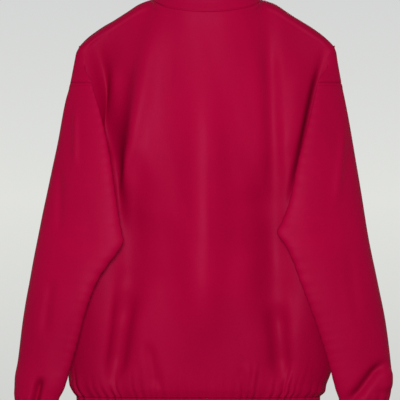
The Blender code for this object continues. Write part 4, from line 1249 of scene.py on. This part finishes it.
def make_world():
    """Pale surroundings, lightest at the horizon."""
    world = bpy.data.worlds.new("pale_room")
    bpy.context.scene.world = world
    world.use_nodes = True
    tree = world.node_tree
    background = tree.nodes["Background"]
    place = tree.nodes.new("ShaderNodeTexCoord")
    parts = tree.nodes.new("ShaderNodeSeparateXYZ")
    ramp = tree.nodes.new("ShaderNodeValToRGB")
    level = tree.nodes.new("ShaderNodeMapRange")
    level.inputs["From Min"].default_value = -1.0
    tree.links.new(place.outputs["Generated"], parts.inputs[0])
    tree.links.new(parts.outputs["Z"], level.inputs["Value"])
    tree.links.new(level.outputs["Result"], ramp.inputs["Fac"])
    tree.links.new(ramp.outputs["Color"], background.inputs["Color"])
    stops = ramp.color_ramp.elements
    while len(stops) < len(SKY):
        stops.new(0.5)
    for stop, (height, colour) in zip(stops, SKY):
        stop.position, stop.color = (height + 1) / 2, (*colour, 1.0)


def make_light(name, place, aim, size, power):
    data = bpy.data.lights.new(name, "AREA")
    data.shape, data.size, data.energy = "DISK", size, power
    light = bpy.data.objects.new(name, data)
    light.location = place
    light.rotation_euler = (Vector(aim) - Vector(place)).to_track_quat("-Z", "Y").to_euler()
    light.visible_camera = False
    bpy.context.scene.collection.objects.link(light)


def make_camera():
    data = bpy.data.cameras.new("behind")
    data.sensor_width = 36.0
    data.lens = VIEW["lens"]
    camera = bpy.data.objects.new("behind", data)
    camera.location = VIEW["place"]
    camera.rotation_euler = (math.pi / 2, 0, math.pi)
    bpy.context.scene.collection.objects.link(camera)
    bpy.context.scene.camera = camera


def declare(things, body, slot, *nodes):
    """Say which body pieces ride, and hide the solids that they stand for. The slot argument is not used."""
    for thing in things:
        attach(thing, body)
        if nodes:
            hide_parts(*nodes)


def main():
    nylon, shaded_band, tape, thread, teeth = (woven(*cloth) for cloth in CLOTHS)
    steel, wood = metal("satin_steel"), wooden("pale_wood")

    pieces = make_cloth()
    add_relief(pieces)
    displace(pieces)
    for name, piece in pieces.items():
        banded = name == "hem_band" or name.startswith("cuff")
        # hem band and cuffs take the nylon darkened as painted shade of their puckers
        thing = cloth_object(piece, shaded_band if banded else nylon)
        declare([thing], "jacket", "band" if banded else "nylon", name)
    declare(make_stitches(pieces, thread), "jacket", "nylon")

    line = zip_line()
    for side in (LEFT, RIGHT):
        node = "zip_tape_" + side_name(side)
        thing = make_tape(side, line, tape)
        declare([thing], "jacket", "tape", node)
    declare([make_teeth(line, teeth)], "jacket", "tape")
    declare(make_slider(steel), "jacket", "steel", "zip_slider")
    declare([make_pull(steel)], "zip_pull", "steel", "zip_pull")
    bar, hook, hook_collar = make_hanger(wood, steel)
    declare([bar], "jacket", "wood", "hanger_bar")
    declare([hook, hook_collar], "jacket", "steel", "hanger_hook")

    make_stage()
    make_world()
    for light in LIGHTS:
        make_light(*light)
    make_camera()
    bpy.context.scene.view_settings.view_transform = "Standard"


main()
